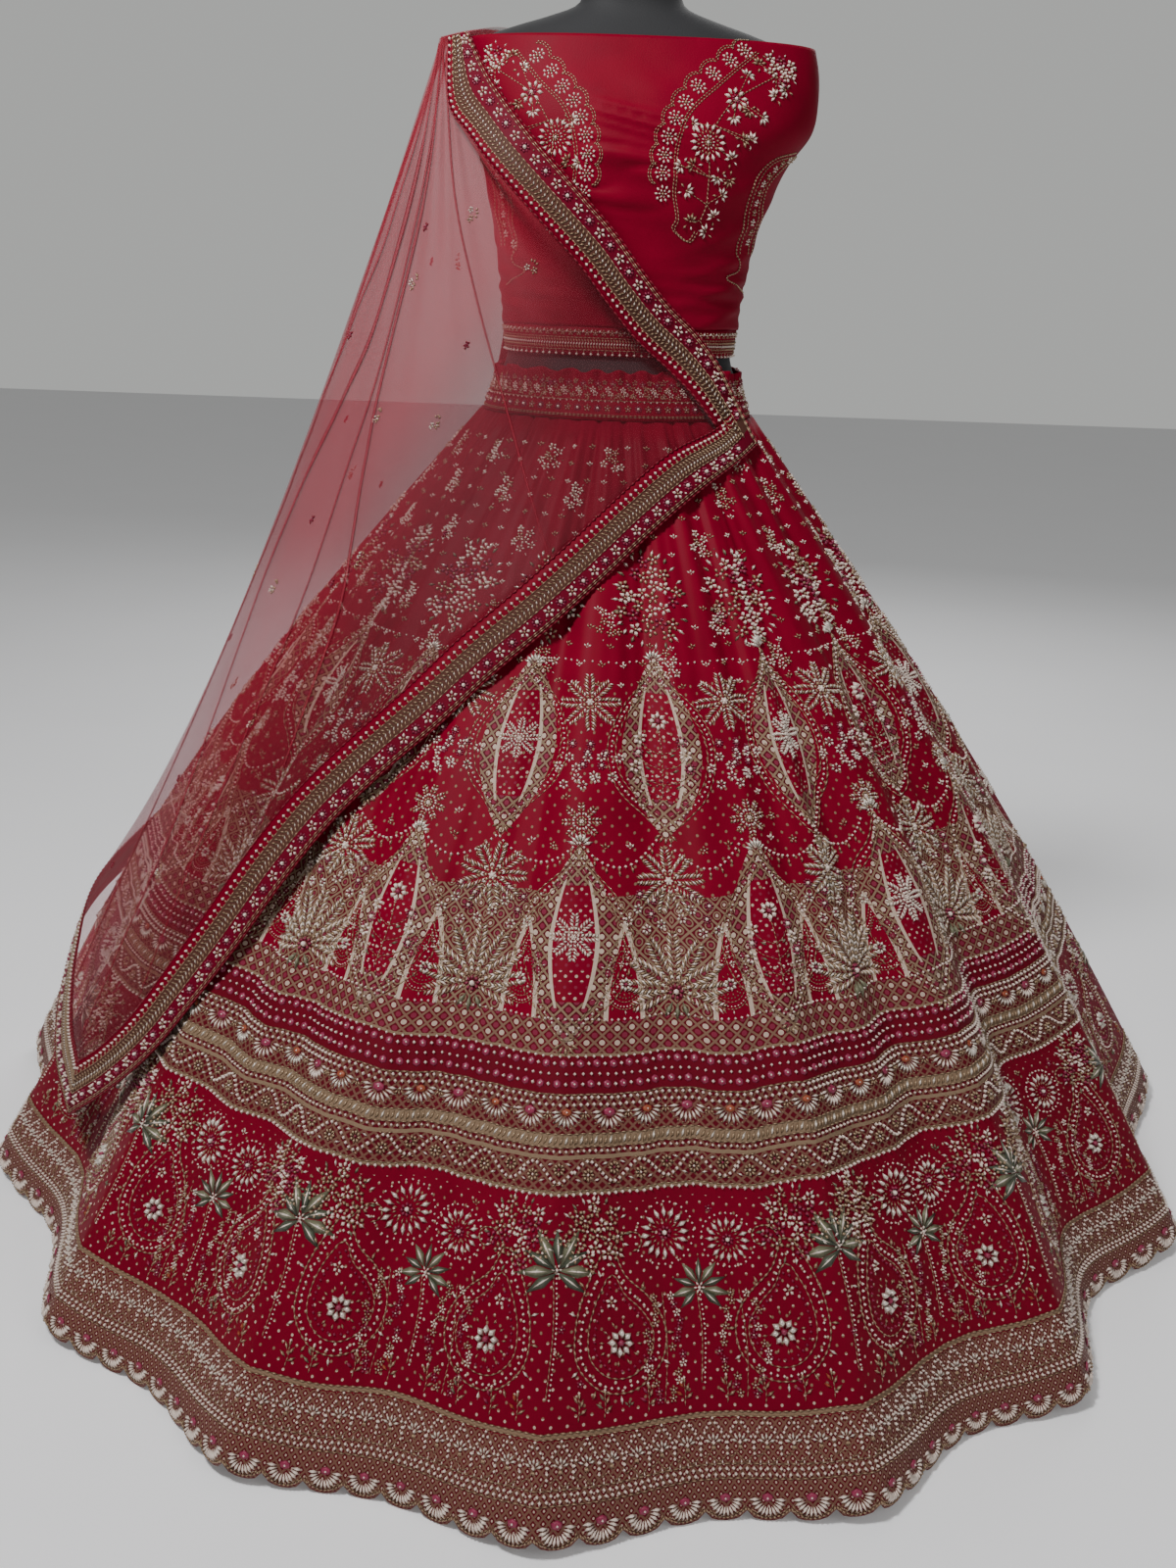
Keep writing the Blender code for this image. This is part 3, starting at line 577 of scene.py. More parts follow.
class Finish:
    """A node material on the Principled shader."""

    def __init__(self, name, **constants):
        self.material = bpy.data.materials.new(name)
        self.material.use_nodes = True
        self.tree = self.material.node_tree
        self.shader = self.tree.nodes["Principled BSDF"]
        for socket, value in constants.items():
            self.shader.inputs[socket.replace("_", " ")].default_value = value

    def node(self, kind, settings, values, output=0):
        made = self.tree.nodes.new(kind)
        for setting, value in settings.items():
            setattr(made, setting, value)
        for socket, value in values.items():
            if isinstance(value, Value):
                self.tree.links.new(value.link, made.inputs[socket])
            else:
                made.inputs[socket].default_value = value
        return Value(self, made.outputs[output])

    def place(self):
        return self.node("ShaderNodeTexCoord", {}, {}, output="Object")

    def cloth_place(self):
        """The cloth's own coordinates, across and down."""
        both = self.node("ShaderNodeUVMap", {"uv_map": "UVMap"}, {})
        return (self.node("ShaderNodeSeparateXYZ", {}, {0: both}, output=k) for k in (0, 1))

    def noise(self, scale, detail=2.0):
        return self.node("ShaderNodeTexNoise", {}, {
            "Vector": self.place(), "Scale": scale, "Detail": detail})

    def mix(self, share, low, high):
        """A colour between two others."""
        values = {"Factor": share, 6: colour4(low), 7: colour4(high)}
        return self.node("ShaderNodeMix", {"data_type": "RGBA"}, values, output=2)

    def set(self, **values):
        for socket, value in values.items():
            self.tree.links.new(value.link, self.shader.inputs[socket.replace("_", " ")])
        return self

    def bump(self, height, distance, strength=1.0):
        made = self.node("ShaderNodeBump", {}, {
            "Height": height, "Distance": distance, "Strength": strength})
        return self.set(Normal=made)


def colour4(colour):
    return colour if isinstance(colour, Value) or len(colour) == 4 else (*colour, 1.0)


def shade(colour, factor):
    """A colour made darker or lighter."""
    return tuple(min(1.0, channel * factor) for channel in colour[:3])


def silk_finish(name, colour, weave=900.0):
    """Raw silk: soft slubs, a fine weave and a little sheen."""
    finish = Finish(name, Specular_IOR_Level=0.07)
    slub = finish.noise(22.0, 3.0)
    thread = finish.noise(weave, 1.0)
    tone = finish.mix(slub, shade(colour, 0.72), shade(colour, 1.18))
    tone = finish.mix(thread * 0.35, tone, shade(colour, 0.55))
    finish.set(Base_Color=tone, Roughness=0.46 + slub * 0.18)
    return finish.bump(thread * 0.6 + slub, 0.0006, 0.5), tone


def lined(value, width):
    """Thin lines where a number passes each whole one."""
    return ((value + 0.5).fraction() - 0.5).size().below(width)


def dotted(one, two, width):
    """A round dot in the middle of each cell of a diagonal net."""
    a, b = one.fraction() - 0.5, two.fraction() - 0.5
    return (a * a + b * b).below(width * width)


# A dark colour for the grounds under the sewing, and also for the painted shade low on the lehenga
DARK_GROUND_AND_SHADE = (0.055, 0.005, 0.009)
OLD_GOLD, OLD_IVORY, OLD_PINK = (0.24, 0.165, 0.105), (0.55, 0.43, 0.34), (0.21, 0.024, 0.050)


# The lehenga's slant length, and where its bands begin, as drops
SLANT_MM = 1085.0
OGEE_TALL, OGEE_WIDE, CORE_TALL, CORE_WIDE = 98.0, 45.0, 56.0, 0.52
GARDEN_TOP, GARDEN_FULL, LATTICE_TOP, ROUNDS_TOP = 0.270, 0.472, 0.583, 0.612
BORDER_TOP, BORDER_BOTTOM, HEM_TOP = 0.645, 0.730, 0.925


def lehenga_finish():
    """The lehenga's silk, with the fine thread grounds that lie under its sewing, and painted shade that
    darkens its lower part.
    """
    finish, tone = silk_finish("lehenga_silk", tuple(bpy.context.scene.lehenga_cloth.silk))
    kali, down = finish.cloth_place()
    length = down * SLANT_MM
    raised = []

    def painted(where, share, colour):
        nonlocal tone
        tone = finish.mix(where * share, tone, colour)

    def diagonal(across, along, pitch):
        return (across + along) / pitch, (across - along) / pitch

    def woven(one, two, width):
        one, two = lined(one, width), lined(two, width)
        return one.maths("MAXIMUM", one, two)

    def in_turn(along, pitch, first, second):
        """Two colours that change from row to row."""
        return finish.mix(lined(along / pitch, 0.25), first, second)

    def medallions(centre, part, width):
        """A tier of ogee grounds: a lattice with rounds in the frame and beads in the core."""
        across = ((kali - part + 0.5).fraction() - 0.5) * width
        along = (down - centre) * SLANT_MM
        reach = (1 - (along.size() / OGEE_TALL).power(1.7)) * OGEE_WIDE
        share = across.size() / reach
        inside = share.below(1.0) * along.size().below(96.0)
        core = share.below(CORE_WIDE) * along.size().below(CORE_TALL)
        frame = inside - core * inside
        one, two = diagonal(across, along, 14.0)
        net, rounds = woven(one, two, 0.11), dotted(one, two, 0.27)
        rims = (share - 0.53).size().below(0.05) * along.size().below(62.0)
        painted(frame, 0.72, DARK_GROUND_AND_SHADE)
        painted(frame * net, 0.9, OLD_GOLD)
        painted(frame * rounds, 0.95, in_turn(along, 43.0, OLD_PINK, OLD_IVORY))
        beads = dotted(*diagonal(across, along, 10.5), 0.21) * core * inside
        painted(beads, 0.8, in_turn(along, 21.0, OLD_IVORY, OLD_PINK))
        painted(rims, 0.9, OLD_IVORY)
        raised.append(frame * (net + rounds) + rims + beads)
        return inside

    def windows(inside):
        """The ground round the lower tier, with arched windows left plain."""
        beside = ((kali * 2).fraction() - 0.5) * 100.0
        arch = (1 - ((down - LATTICE_TOP) * SLANT_MM / 92.0).size().power(2.2)) * 17.0
        outside = (1 - inside) * (1 - beside.size().below(arch)) * down.within(GARDEN_FULL, LATTICE_TOP)
        edges = (beside.size() - arch).size().below(2.2) * (1 - inside) * down.within(0.495, LATTICE_TOP)
        one, two = diagonal(((kali + 0.5).fraction() - 0.5) * 205.0, (down - 0.515) * SLANT_MM, 19.0)
        net = woven(one, two, 0.085)
        ring, heart = dotted(one, two, 0.33) * (1 - dotted(one, two, 0.21)), dotted(one, two, 0.13)
        painted(outside, 0.62, DARK_GROUND_AND_SHADE)
        painted(outside * net, 0.85, OLD_GOLD)
        painted(outside * ring, 0.8, OLD_GOLD)
        painted(outside * heart, 0.9, in_turn(kali, 0.25, OLD_PINK, OLD_IVORY))
        painted(edges, 0.9, OLD_IVORY)
        raised.append(outside * (net + ring + heart))

    def paisley_ground(part, lean):
        across, along = (kali - part) * 352.0, (down - 0.842) * SLANT_MM
        across = across + along * lean
        leaf = ((across / 35.0).power(2) + (along / 47.0).power(2)).below(1.0)
        one, two = diagonal(across, along, 11.5)
        threads = woven(one, two, 0.15) * leaf
        painted(leaf, 0.62, DARK_GROUND_AND_SHADE)
        painted(threads, 0.85, OLD_GOLD)
        painted(dotted(one, two, 0.25) * leaf, 0.9, OLD_IVORY)
        raised.append(threads)

    # Painted shade: the silk of the panel and hem is darkened a little, as the light falls off towards the
    # bottom
    painted(down.within(BORDER_BOTTOM, 1.02), 0.16, DARK_GROUND_AND_SHADE)
    medallions(0.335, 0.5, 168.0)
    windows(medallions(0.515, 0.0, 205.0))
    specks = dotted(*diagonal(kali * 190.0, length, 17.0), 0.13) * down.within(GARDEN_TOP, GARDEN_FULL)
    painted(specks, 0.85, OLD_GOLD)
    seeds = dotted(*diagonal(kali * 330.0, length, 16.0), 0.13) * down.within(0.738, 0.916)
    painted(seeds, 0.85, in_turn(length, 32.0, OLD_GOLD, OLD_IVORY))
    one, two = diagonal(kali * 205.0, length, 13.6)
    band = down.within(LATTICE_TOP, ROUNDS_TOP)
    painted(down.within(ROUNDS_TOP, BORDER_TOP), 0.45, DARK_GROUND_AND_SHADE)
    net = woven(one, two, 0.11) * band
    painted(band, 0.60, DARK_GROUND_AND_SHADE)
    painted(net, 0.62, OLD_GOLD)
    painted(dotted(one, two, 0.27) * band, 0.85, in_turn(length, 13.6, OLD_PINK, OLD_IVORY))
    lines = 0
    for place, width in (
            (0.6845, 0.0052), (ROUNDS_TOP, 0.0012), (0.6985, 0.0018), (0.7275, 0.0015), (0.9215, 0.0016)):
        lines = (down - place).size().below(width) + lines
    middle = down.within(BORDER_TOP, BORDER_BOTTOM)
    painted(middle, 0.66, DARK_GROUND_AND_SHADE)
    painted(lines, 0.9, OLD_GOLD)
    ground = woven(*diagonal(kali * 240.0, length, 9.5), 0.17) * middle
    painted(ground, 0.42, OLD_GOLD)
    paisley_ground(0.26, -0.10)
    paisley_ground(0.77, 0.10)
    hem = down.within(HEM_TOP, 1.02)
    one, two = diagonal(kali * 380.0, length, 10.5)
    mesh = woven(one, two, 0.16) * hem
    painted(hem, 0.58, DARK_GROUND_AND_SHADE)
    painted(mesh, 0.46, OLD_GOLD)
    painted(dotted(one, two, 0.16) * hem, 0.8, OLD_IVORY)
    finish.set(Base_Color=tone)
    finish.bump(sum(raised, net) + specks + seeds + lines + ground + mesh, 0.0008, 0.6)
    return finish.material


def border_finish():
    """The dupatta's border: silk, with dark grounds under the flowers and the braid."""
    finish, tone = silk_finish("border_silk", shade(bpy.context.scene.lehenga_cloth.silk, 0.85))
    _, across = finish.cloth_place()
    tone = finish.mix(across.within(0.045, 0.40) * 0.45, tone, (0.09, 0.002, 0.016))
    tone = finish.mix(across.within(0.405, 0.735) * 0.85, tone, (0.075, 0.040, 0.027))
    finish.set(Base_Color=tone)
    return finish.material


def net_finish():
    """Sheer net: a fine mesh that shows what is behind it, drawn denser and painted lighter where it hangs
    free of the body, as if lit through from behind.
    """
    cloth = bpy.context.scene.lehenga_cloth
    colour = tuple(cloth.net)
    finish = Finish("crimson_net", Roughness=0.62, Sheen_Weight=0.10)
    soft = finish.noise(9.0, 3.0)
    weave = finish.noise(1400.0, 1.0)
    x, z = (finish.node("ShaderNodeSeparateXYZ", {}, {0: finish.place()}, output=k) for k in (0, 2))
    # Where the net hangs free of the body, high up and to the left, away from the skirt
    free_backlit = finish.node("ShaderNodeMapRange", {}, {0: z * 0.60 - x - 0.74, 1: -0.07, 2: 0.07})
    cover = cloth.net_cover * (0.80 + soft * 0.30 + weave * 0.12) * (1.0 + free_backlit * 0.85)
    tone = finish.mix(soft, shade(colour, 0.85), shade(colour, 1.2))
    # Painted light: the net is painted up to 3.1 times lighter where it hangs free, as if lit through from
    # behind; over the skirt it keeps its darker colour
    tone = finish.mix(free_backlit, tone, shade(colour, 3.1))
    finish.set(Base_Color=tone, Alpha=cover)
    return finish.material


def pleat_finish():
    """The net where it lies folded over itself in a narrow pleat."""
    colour = tuple(bpy.context.scene.lehenga_cloth.net)
    finish = Finish("crimson_net_pleat", Roughness=0.62)
    soft = finish.noise(40.0, 3.0)
    finish.set(Base_Color=finish.mix(soft, shade(colour, 2.0), shade(colour, 2.9)), Alpha=0.40 + soft * 0.16)
    return finish.material


def thread_finish(name, colour, roughness, metallic, vary=0.35, coat=0.0):
    """Thread, beads or bugles: each stitch takes a slightly different tone."""
    finish = Finish(name, Metallic=metallic, Coat_Weight=coat, Coat_Roughness=0.15)
    grain = finish.noise(240.0, 2.0)
    tone = finish.mix(grain, shade(colour, 1 - vary), shade(colour, 1 + vary))
    finish.set(Base_Color=tone, Roughness=roughness - 0.10 + grain * 0.20)
    return finish.material


THREADS = ("gold", "ivory", "silver", "pink", "rust", "sage", "leaf", "crimson")
GOLD, IVORY, SILVER, PINK, RUST, SAGE, LEAF, CRIMSON = range(8)


def thread_materials():
    """One material for each thread, made once."""
    sewing, cloth = bpy.context.scene.lehenga_sewing, bpy.context.scene.lehenga_cloth
    wanted = {
        "gold": (tuple(sewing.gold), 0.42, 0.6, 0.35, 0.0),
        "ivory": (tuple(sewing.ivory), 0.30, 0.0, 0.16, 0.5),
        "silver": ((0.76, 0.68, 0.59), 0.32, 0.35, 0.30, 0.3),
        "pink": (tuple(sewing.pink), 0.50, 0.0, 0.30, 0.1),
        "rust": ((0.30, 0.065, 0.025), 0.55, 0.1, 0.3, 0.0),
        "sage": ((0.17, 0.165, 0.10), 0.50, 0.1, 0.3, 0.1),
        "leaf": ((0.075, 0.085, 0.055), 0.50, 0.0, 0.3, 0.1),
        "crimson": (shade(cloth.silk, 0.9), 0.55, 0.0, 0.25, 0.0),
    }
    made = []
    for name in THREADS:
        full = f"{name}_thread"
        made.append(bpy.data.materials.get(full) or thread_finish(full, *wanted[name]))
    return made


# Making pieces

def add_piece(name, mesh, slot, *nodes):
    """Links a finished mesh as a piece of the scene that rides with the part."""
    made = bpy.data.objects.new(name, mesh)
    bpy.context.scene.collection.objects.link(made)
    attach(made, "root")
    if nodes:
        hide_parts(*nodes)
    return made


def apply_modifiers(made):
    """Applies an object's modifiers in order."""
    bpy.ops.object.select_all(action="DESELECT")
    made.select_set(True)
    bpy.context.view_layer.objects.active = made
    for modifier in list(made.modifiers):
        bpy.ops.object.modifier_apply(modifier=modifier.name)
    made.select_set(False)


def cloth_piece(name, cloth, thickness, material, slot, *nodes):
    """A cloth's shell: its grid as the outer face, with its wall turned inward."""
    rows, columns = cloth.points.shape[:2]
    last = columns - 1 if cloth.ring else columns
    index = np.arange(rows * last).reshape(rows, last)
    left = index if cloth.ring else index[:, :-1]
    right = np.roll(index, -1, axis=1) if cloth.ring else index[:, 1:]
    quads = np.stack([left[:-1], left[1:], right[1:], right[:-1]], -1).reshape(-1, 4)
    if cloth.flipped:
        quads = quads[:, ::-1]
    mesh = bpy.data.meshes.new(name)
    mesh.from_pydata(cloth.points[:, :last].reshape(-1, 3).tolist(), [], quads.tolist())
    layer = mesh.uv_layers.new(name="UVMap")
    u = np.concatenate([cloth.marks[:-1], cloth.marks[1:]]).reshape(2, -1)
    left_u, right_u = (np.broadcast_to(side, (rows - 1, columns - 1)) for side in u)
    upper, lower = (np.broadcast_to(side[:, None], left_u.shape) for side in (cloth.v[:-1], cloth.v[1:]))
    corners = np.stack([np.stack([left_u, upper], -1), np.stack([left_u, lower], -1),
                        np.stack([right_u, lower], -1), np.stack([right_u, upper], -1)], 2)
    if cloth.flipped:
        corners = corners[:, :, ::-1]
    layer.data.foreach_set("uv", corners.astype(np.float32).ravel())
    mesh.shade_smooth()
    mesh.materials.append(material)
    made = add_piece(name, mesh, slot, *nodes)
    wall = made.modifiers.new("wall", "SOLIDIFY")
    wall.thickness = thickness
    wall.offset = -1
    apply_modifiers(made)
    return made


# How far a stitch goes into its cloth, as a share of its height
SUNK = 0.15


def taken_shape():
    """Takes the active object away and gives its vertices, sunk a little into the cloth, and its faces."""
    made = bpy.context.active_object
    points = np.array([v.co[:] for v in made.data.vertices])
    points[:, 2] = (points[:, 2] - points[:, 2].min()) * (1 + SUNK) - SUNK
    faces = [list(face.vertices) for face in made.data.polygons]
    mesh = made.data
    bpy.data.objects.remove(made, do_unlink=True)
    bpy.data.meshes.remove(mesh)
    return points, faces


def stitch_shapes():
    """The two small solids that repeat: a pointed stitch, long along x, and a round bead."""
    bpy.ops.mesh.primitive_cone_add(vertices=4, radius1=0.5, radius2=0, depth=1)
    points, faces = taken_shape()
    corner = points[np.abs(points[:, :2]).max(axis=1) > 1e-6][0]
    turn = math.atan2(corner[1], corner[0])
    points[:, :2] = points[:, :2] @ np.array([[math.cos(turn), -math.sin(turn)],
                                              [math.sin(turn), math.cos(turn)]])
    pointed = (points, faces)
    bpy.ops.mesh.primitive_cone_add(vertices=6, radius1=0.5, radius2=0.36, depth=1)
    points, faces = taken_shape()
    top = np.isclose(points[:, 2], points[:, 2].max())
    points[top, 2] = 0.62
    lid = next(face for face in faces if all(top[v] for v in face))
    faces.remove(lid)
    points = np.vstack([points, (0, 0, 1)])
    faces += [[lid[k], lid[(k + 1) % len(lid)], len(points) - 1] for k in range(len(lid))]
    return pointed, (points, faces)


MM = 0.001
POINTED, ROUND = 0, 1
# Smaller beads than this are laid as four-sided ones
ROUND_FROM = 5.0


def stitch(x, y, turn, length, width, thread, height=None, shape=POINTED):
    """A stitch in a motif, in millimetres: x, y, turn, length, width, height, thread and shape."""
    return (x, y, turn, length, width, height or min(width, length) * 0.75, thread, shape)


def bead(x, y, size, thread):
    return stitch(x, y, 0, size, size, thread, size * 0.75, ROUND if size > ROUND_FROM else POINTED)


def around(turn, out, x=0.0, y=0.0):
    """The place at a distance and an angle in degrees from a centre."""
    return x + out * math.cos(math.radians(turn)), y + out * math.sin(math.radians(turn))


def petals(count, inner, length, width, thread, first=0.0, sweep=360.0, x=0.0, y=0.0):
    """Petals set round a centre."""
    made = []
    steps = count if sweep == 360.0 else count - 1
    for k in range(count):
        turn = first + sweep * k / steps
        made.append(stitch(*around(turn, inner + length / 2, x, y), turn, length, width, thread))
    return made


def steps_along(knots, step, closed):
    """Places about a step apart along a smooth line of knots."""
    knots = [tuple(k) for k in knots]
    if closed:
        knots = knots + [knots[0]]
    length = smooth_line(knots, [0, 1])[1]
    return smooth_line(knots, np.linspace(0, 1, max(2, round(length / step)) + 1))[0]


def chain(knots, step, width, thread, closed=False, overlap=1.25):
    """Stitches head to tail along a smooth line of knots."""
    line = steps_along(knots, step, closed)
    made = []
    for a, b in zip(line[:-1], line[1:]):
        turn = math.degrees(math.atan2(b[1] - a[1], b[0] - a[0]))
        made.append(stitch(*((a + b) / 2), turn, math.hypot(*(b - a)) * overlap, width, thread))
    return made


def bead_line(knots, step, size, thread, closed=False):
    line = steps_along(knots, step, closed)
    return [bead(x, y, size, thread) for x, y in (line[:-1] if closed else line)]


def moved(made, x=0.0, y=0.0, turn=0.0, size=1.0, mirror=False):
    """A motif set elsewhere in a larger one."""
    spin = math.radians(turn)
    out = []
    for sx, sy, angle, length, width, height, thread, shape in made:
        if mirror:
            sx, angle = -sx, 180 - angle
        px = (sx * math.cos(spin) - sy * math.sin(spin)) * size + x
        py = (sx * math.sin(spin) + sy * math.cos(spin)) * size + y
        out.append((px, py, angle + turn, length * size, width * size, height * size, thread, shape))
    return out


def ivory_flower(size, petal_count=5, thread=IVORY, centre=GOLD):
    made = petals(petal_count, size * 0.10, size * 0.42, size * 0.30, thread, 90)
    return made + [bead(0, 0, size * 0.26, centre)]


def pink_round(size, thread=PINK):
    """A round flower of couched thread with a bead at its middle."""
    made = petals(8, size * 0.16, size * 0.34, size * 0.27, thread, 10)
    return made + [stitch(0, 0, 0, size * 0.38, size * 0.38, IVORY, size * 0.30, ROUND)]


def sprig(size=9.0, thread=GOLD):
    made = petals(3, size * 0.10, size * 0.52, size * 0.24, thread, 40, 100.0)
    return made + [bead(0, 0, size * 0.2, thread)]


def herringbone_leaf(length, width, thread, vein):
    """A leaf of slanted bugles on both sides of its vein, pointing along x."""
    made = []
    pairs = max(3, round(length / 4.5))
    for k in range(pairs):
        along = length * (0.14 + 0.80 * k / pairs)
        reach = width * (0.30 + 0.70 * math.sin(math.pi * (0.12 + 0.80 * k / pairs)))
        for side in (-1, 1):
            made.append(stitch(along + reach * 0.20, side * reach * 0.28, side * 42, reach * 0.80, 3.1,
                               thread if k % 2 else vein))
    return made


def palm_star(size, leaves=8, thread=SILVER, vein=GOLD):
    made = []
    for k in range(leaves):
        leaf = herringbone_leaf(size * 0.46, size * 0.16, thread, vein)
        made += moved(leaf, turn=90 + 360 * k / leaves)
    return made + petals(6, 0, size * 0.07, size * 0.05, IVORY) + [bead(0, 0, size * 0.07, IVORY)]


# Laying the sewing on the cloths

class Sewing:
    """Collects stitches laid on cloths and makes one joined mesh of them."""

    def __init__(self, shapes):
        self.shapes, self.laid = shapes, []

    def lay(self, cloth, motif, u, v, turn=0.0, size=1.0, mirror=False):
        """Lays a motif at each place of a cloth."""
        motif = np.array(motif, float)
        u, v, turn, size, mirror = np.broadcast_arrays(
            np.asarray(u, float), np.asarray(v, float), turn, size, mirror)
        flip = np.where(mirror, -1.0, 1.0).reshape(-1, 1)
        u, v = u.reshape(-1, 1), v.reshape(-1, 1)
        spin, size = np.radians(turn.reshape(-1, 1)), size.reshape(-1, 1)
        x = motif[None, :, 0] * flip
        y = motif[None, :, 1] * np.ones_like(x)
        right, up = (x * np.cos(spin) - y * np.sin(spin)), (x * np.sin(spin) + y * np.cos(spin))
        per_u, per_v = cloth.scale(u[:, 0], v[:, 0])
        au = u + right * size * MM / per_u[:, None]
        av = v - cloth.way * up * size * MM / per_v[:, None]
        angle = np.radians(motif[None, :, 2]) * np.ones_like(x)
        angle = np.where(flip < 0, np.pi - angle, angle) + spin
        columns = [np.broadcast_to(motif[None, :, k], x.shape) for k in (3, 4, 5, 6, 7)]
        sizes = [column * size * MM for column in columns[:3]]
        self.laid.append((cloth, au.ravel(), av.ravel(), angle.ravel(),
                          *(s.ravel() for s in sizes), columns[3].ravel(), columns[4].ravel()))

    def joined(self, name, lift=0.0002):
        """All the stitches as one mesh."""
        placed = [(cloth.frames(u, v), angle, length, width, height, thread, shape)
                  for cloth, u, v, angle, length, width, height, thread, shape in self.laid]
        point, right, up, normal = (np.concatenate([p[0][k] for p in placed]) for k in range(4))
        angle, length, width, height, thread, shape = (
            np.concatenate([p[k] for p in placed]) for k in range(1, 7))
        along = right * np.cos(angle)[:, None] + up * np.sin(angle)[:, None]
        side = np.cross(normal, along)
        verts, loops, totals, used = [], [], [], []
        base = 0
        for kind, (form, faces) in enumerate(self.shapes):
            chosen = shape.astype(int) == kind
            if not chosen.any():
                continue
            axes = (along[chosen] * length[chosen, None], side[chosen] * width[chosen, None],
                    normal[chosen] * height[chosen, None])
            centre = point[chosen] + normal[chosen] * lift
            spread = sum(axis[:, None] * form[None, :, k, None] for k, axis in enumerate(axes))
            solid = centre[:, None] + spread
            count = len(solid)
            verts.append(solid.reshape(-1, 3))
            starts = base + np.arange(count) * len(form)
            for face in faces:
                loops.append((starts[:, None] + np.array(face)[None]).reshape(-1))
                totals.append(np.full(count, len(face)))
                used.append(thread[chosen].astype(int))
            base += count * len(form)
        verts, loops = np.concatenate(verts), np.concatenate(loops)
        totals, used = np.concatenate(totals), np.concatenate(used)
        mesh = bpy.data.meshes.new(name)
        mesh.vertices.add(len(verts))
        mesh.vertices.foreach_set("co", verts.astype(np.float32).ravel())
        mesh.loops.add(len(loops))
        mesh.loops.foreach_set("vertex_index", loops.astype(np.int32))
        mesh.polygons.add(len(totals))
        starts = np.concatenate([[0], np.cumsum(totals)[:-1]])
        mesh.polygons.foreach_set("loop_start", starts.astype(np.int32))
        kinds, slots = np.unique(used, return_inverse=True)
        materials = thread_materials()
        for kind in kinds:
            mesh.materials.append(materials[kind])
        mesh.polygons.foreach_set("material_index", slots.astype(np.int32))
        mesh.update(calc_edges=True)
        mesh.validate()
        mesh.shade_smooth()
        return add_piece(name, mesh, "gold_border")


# The cloths

# A row or column past the end of every grid
ALL = 99


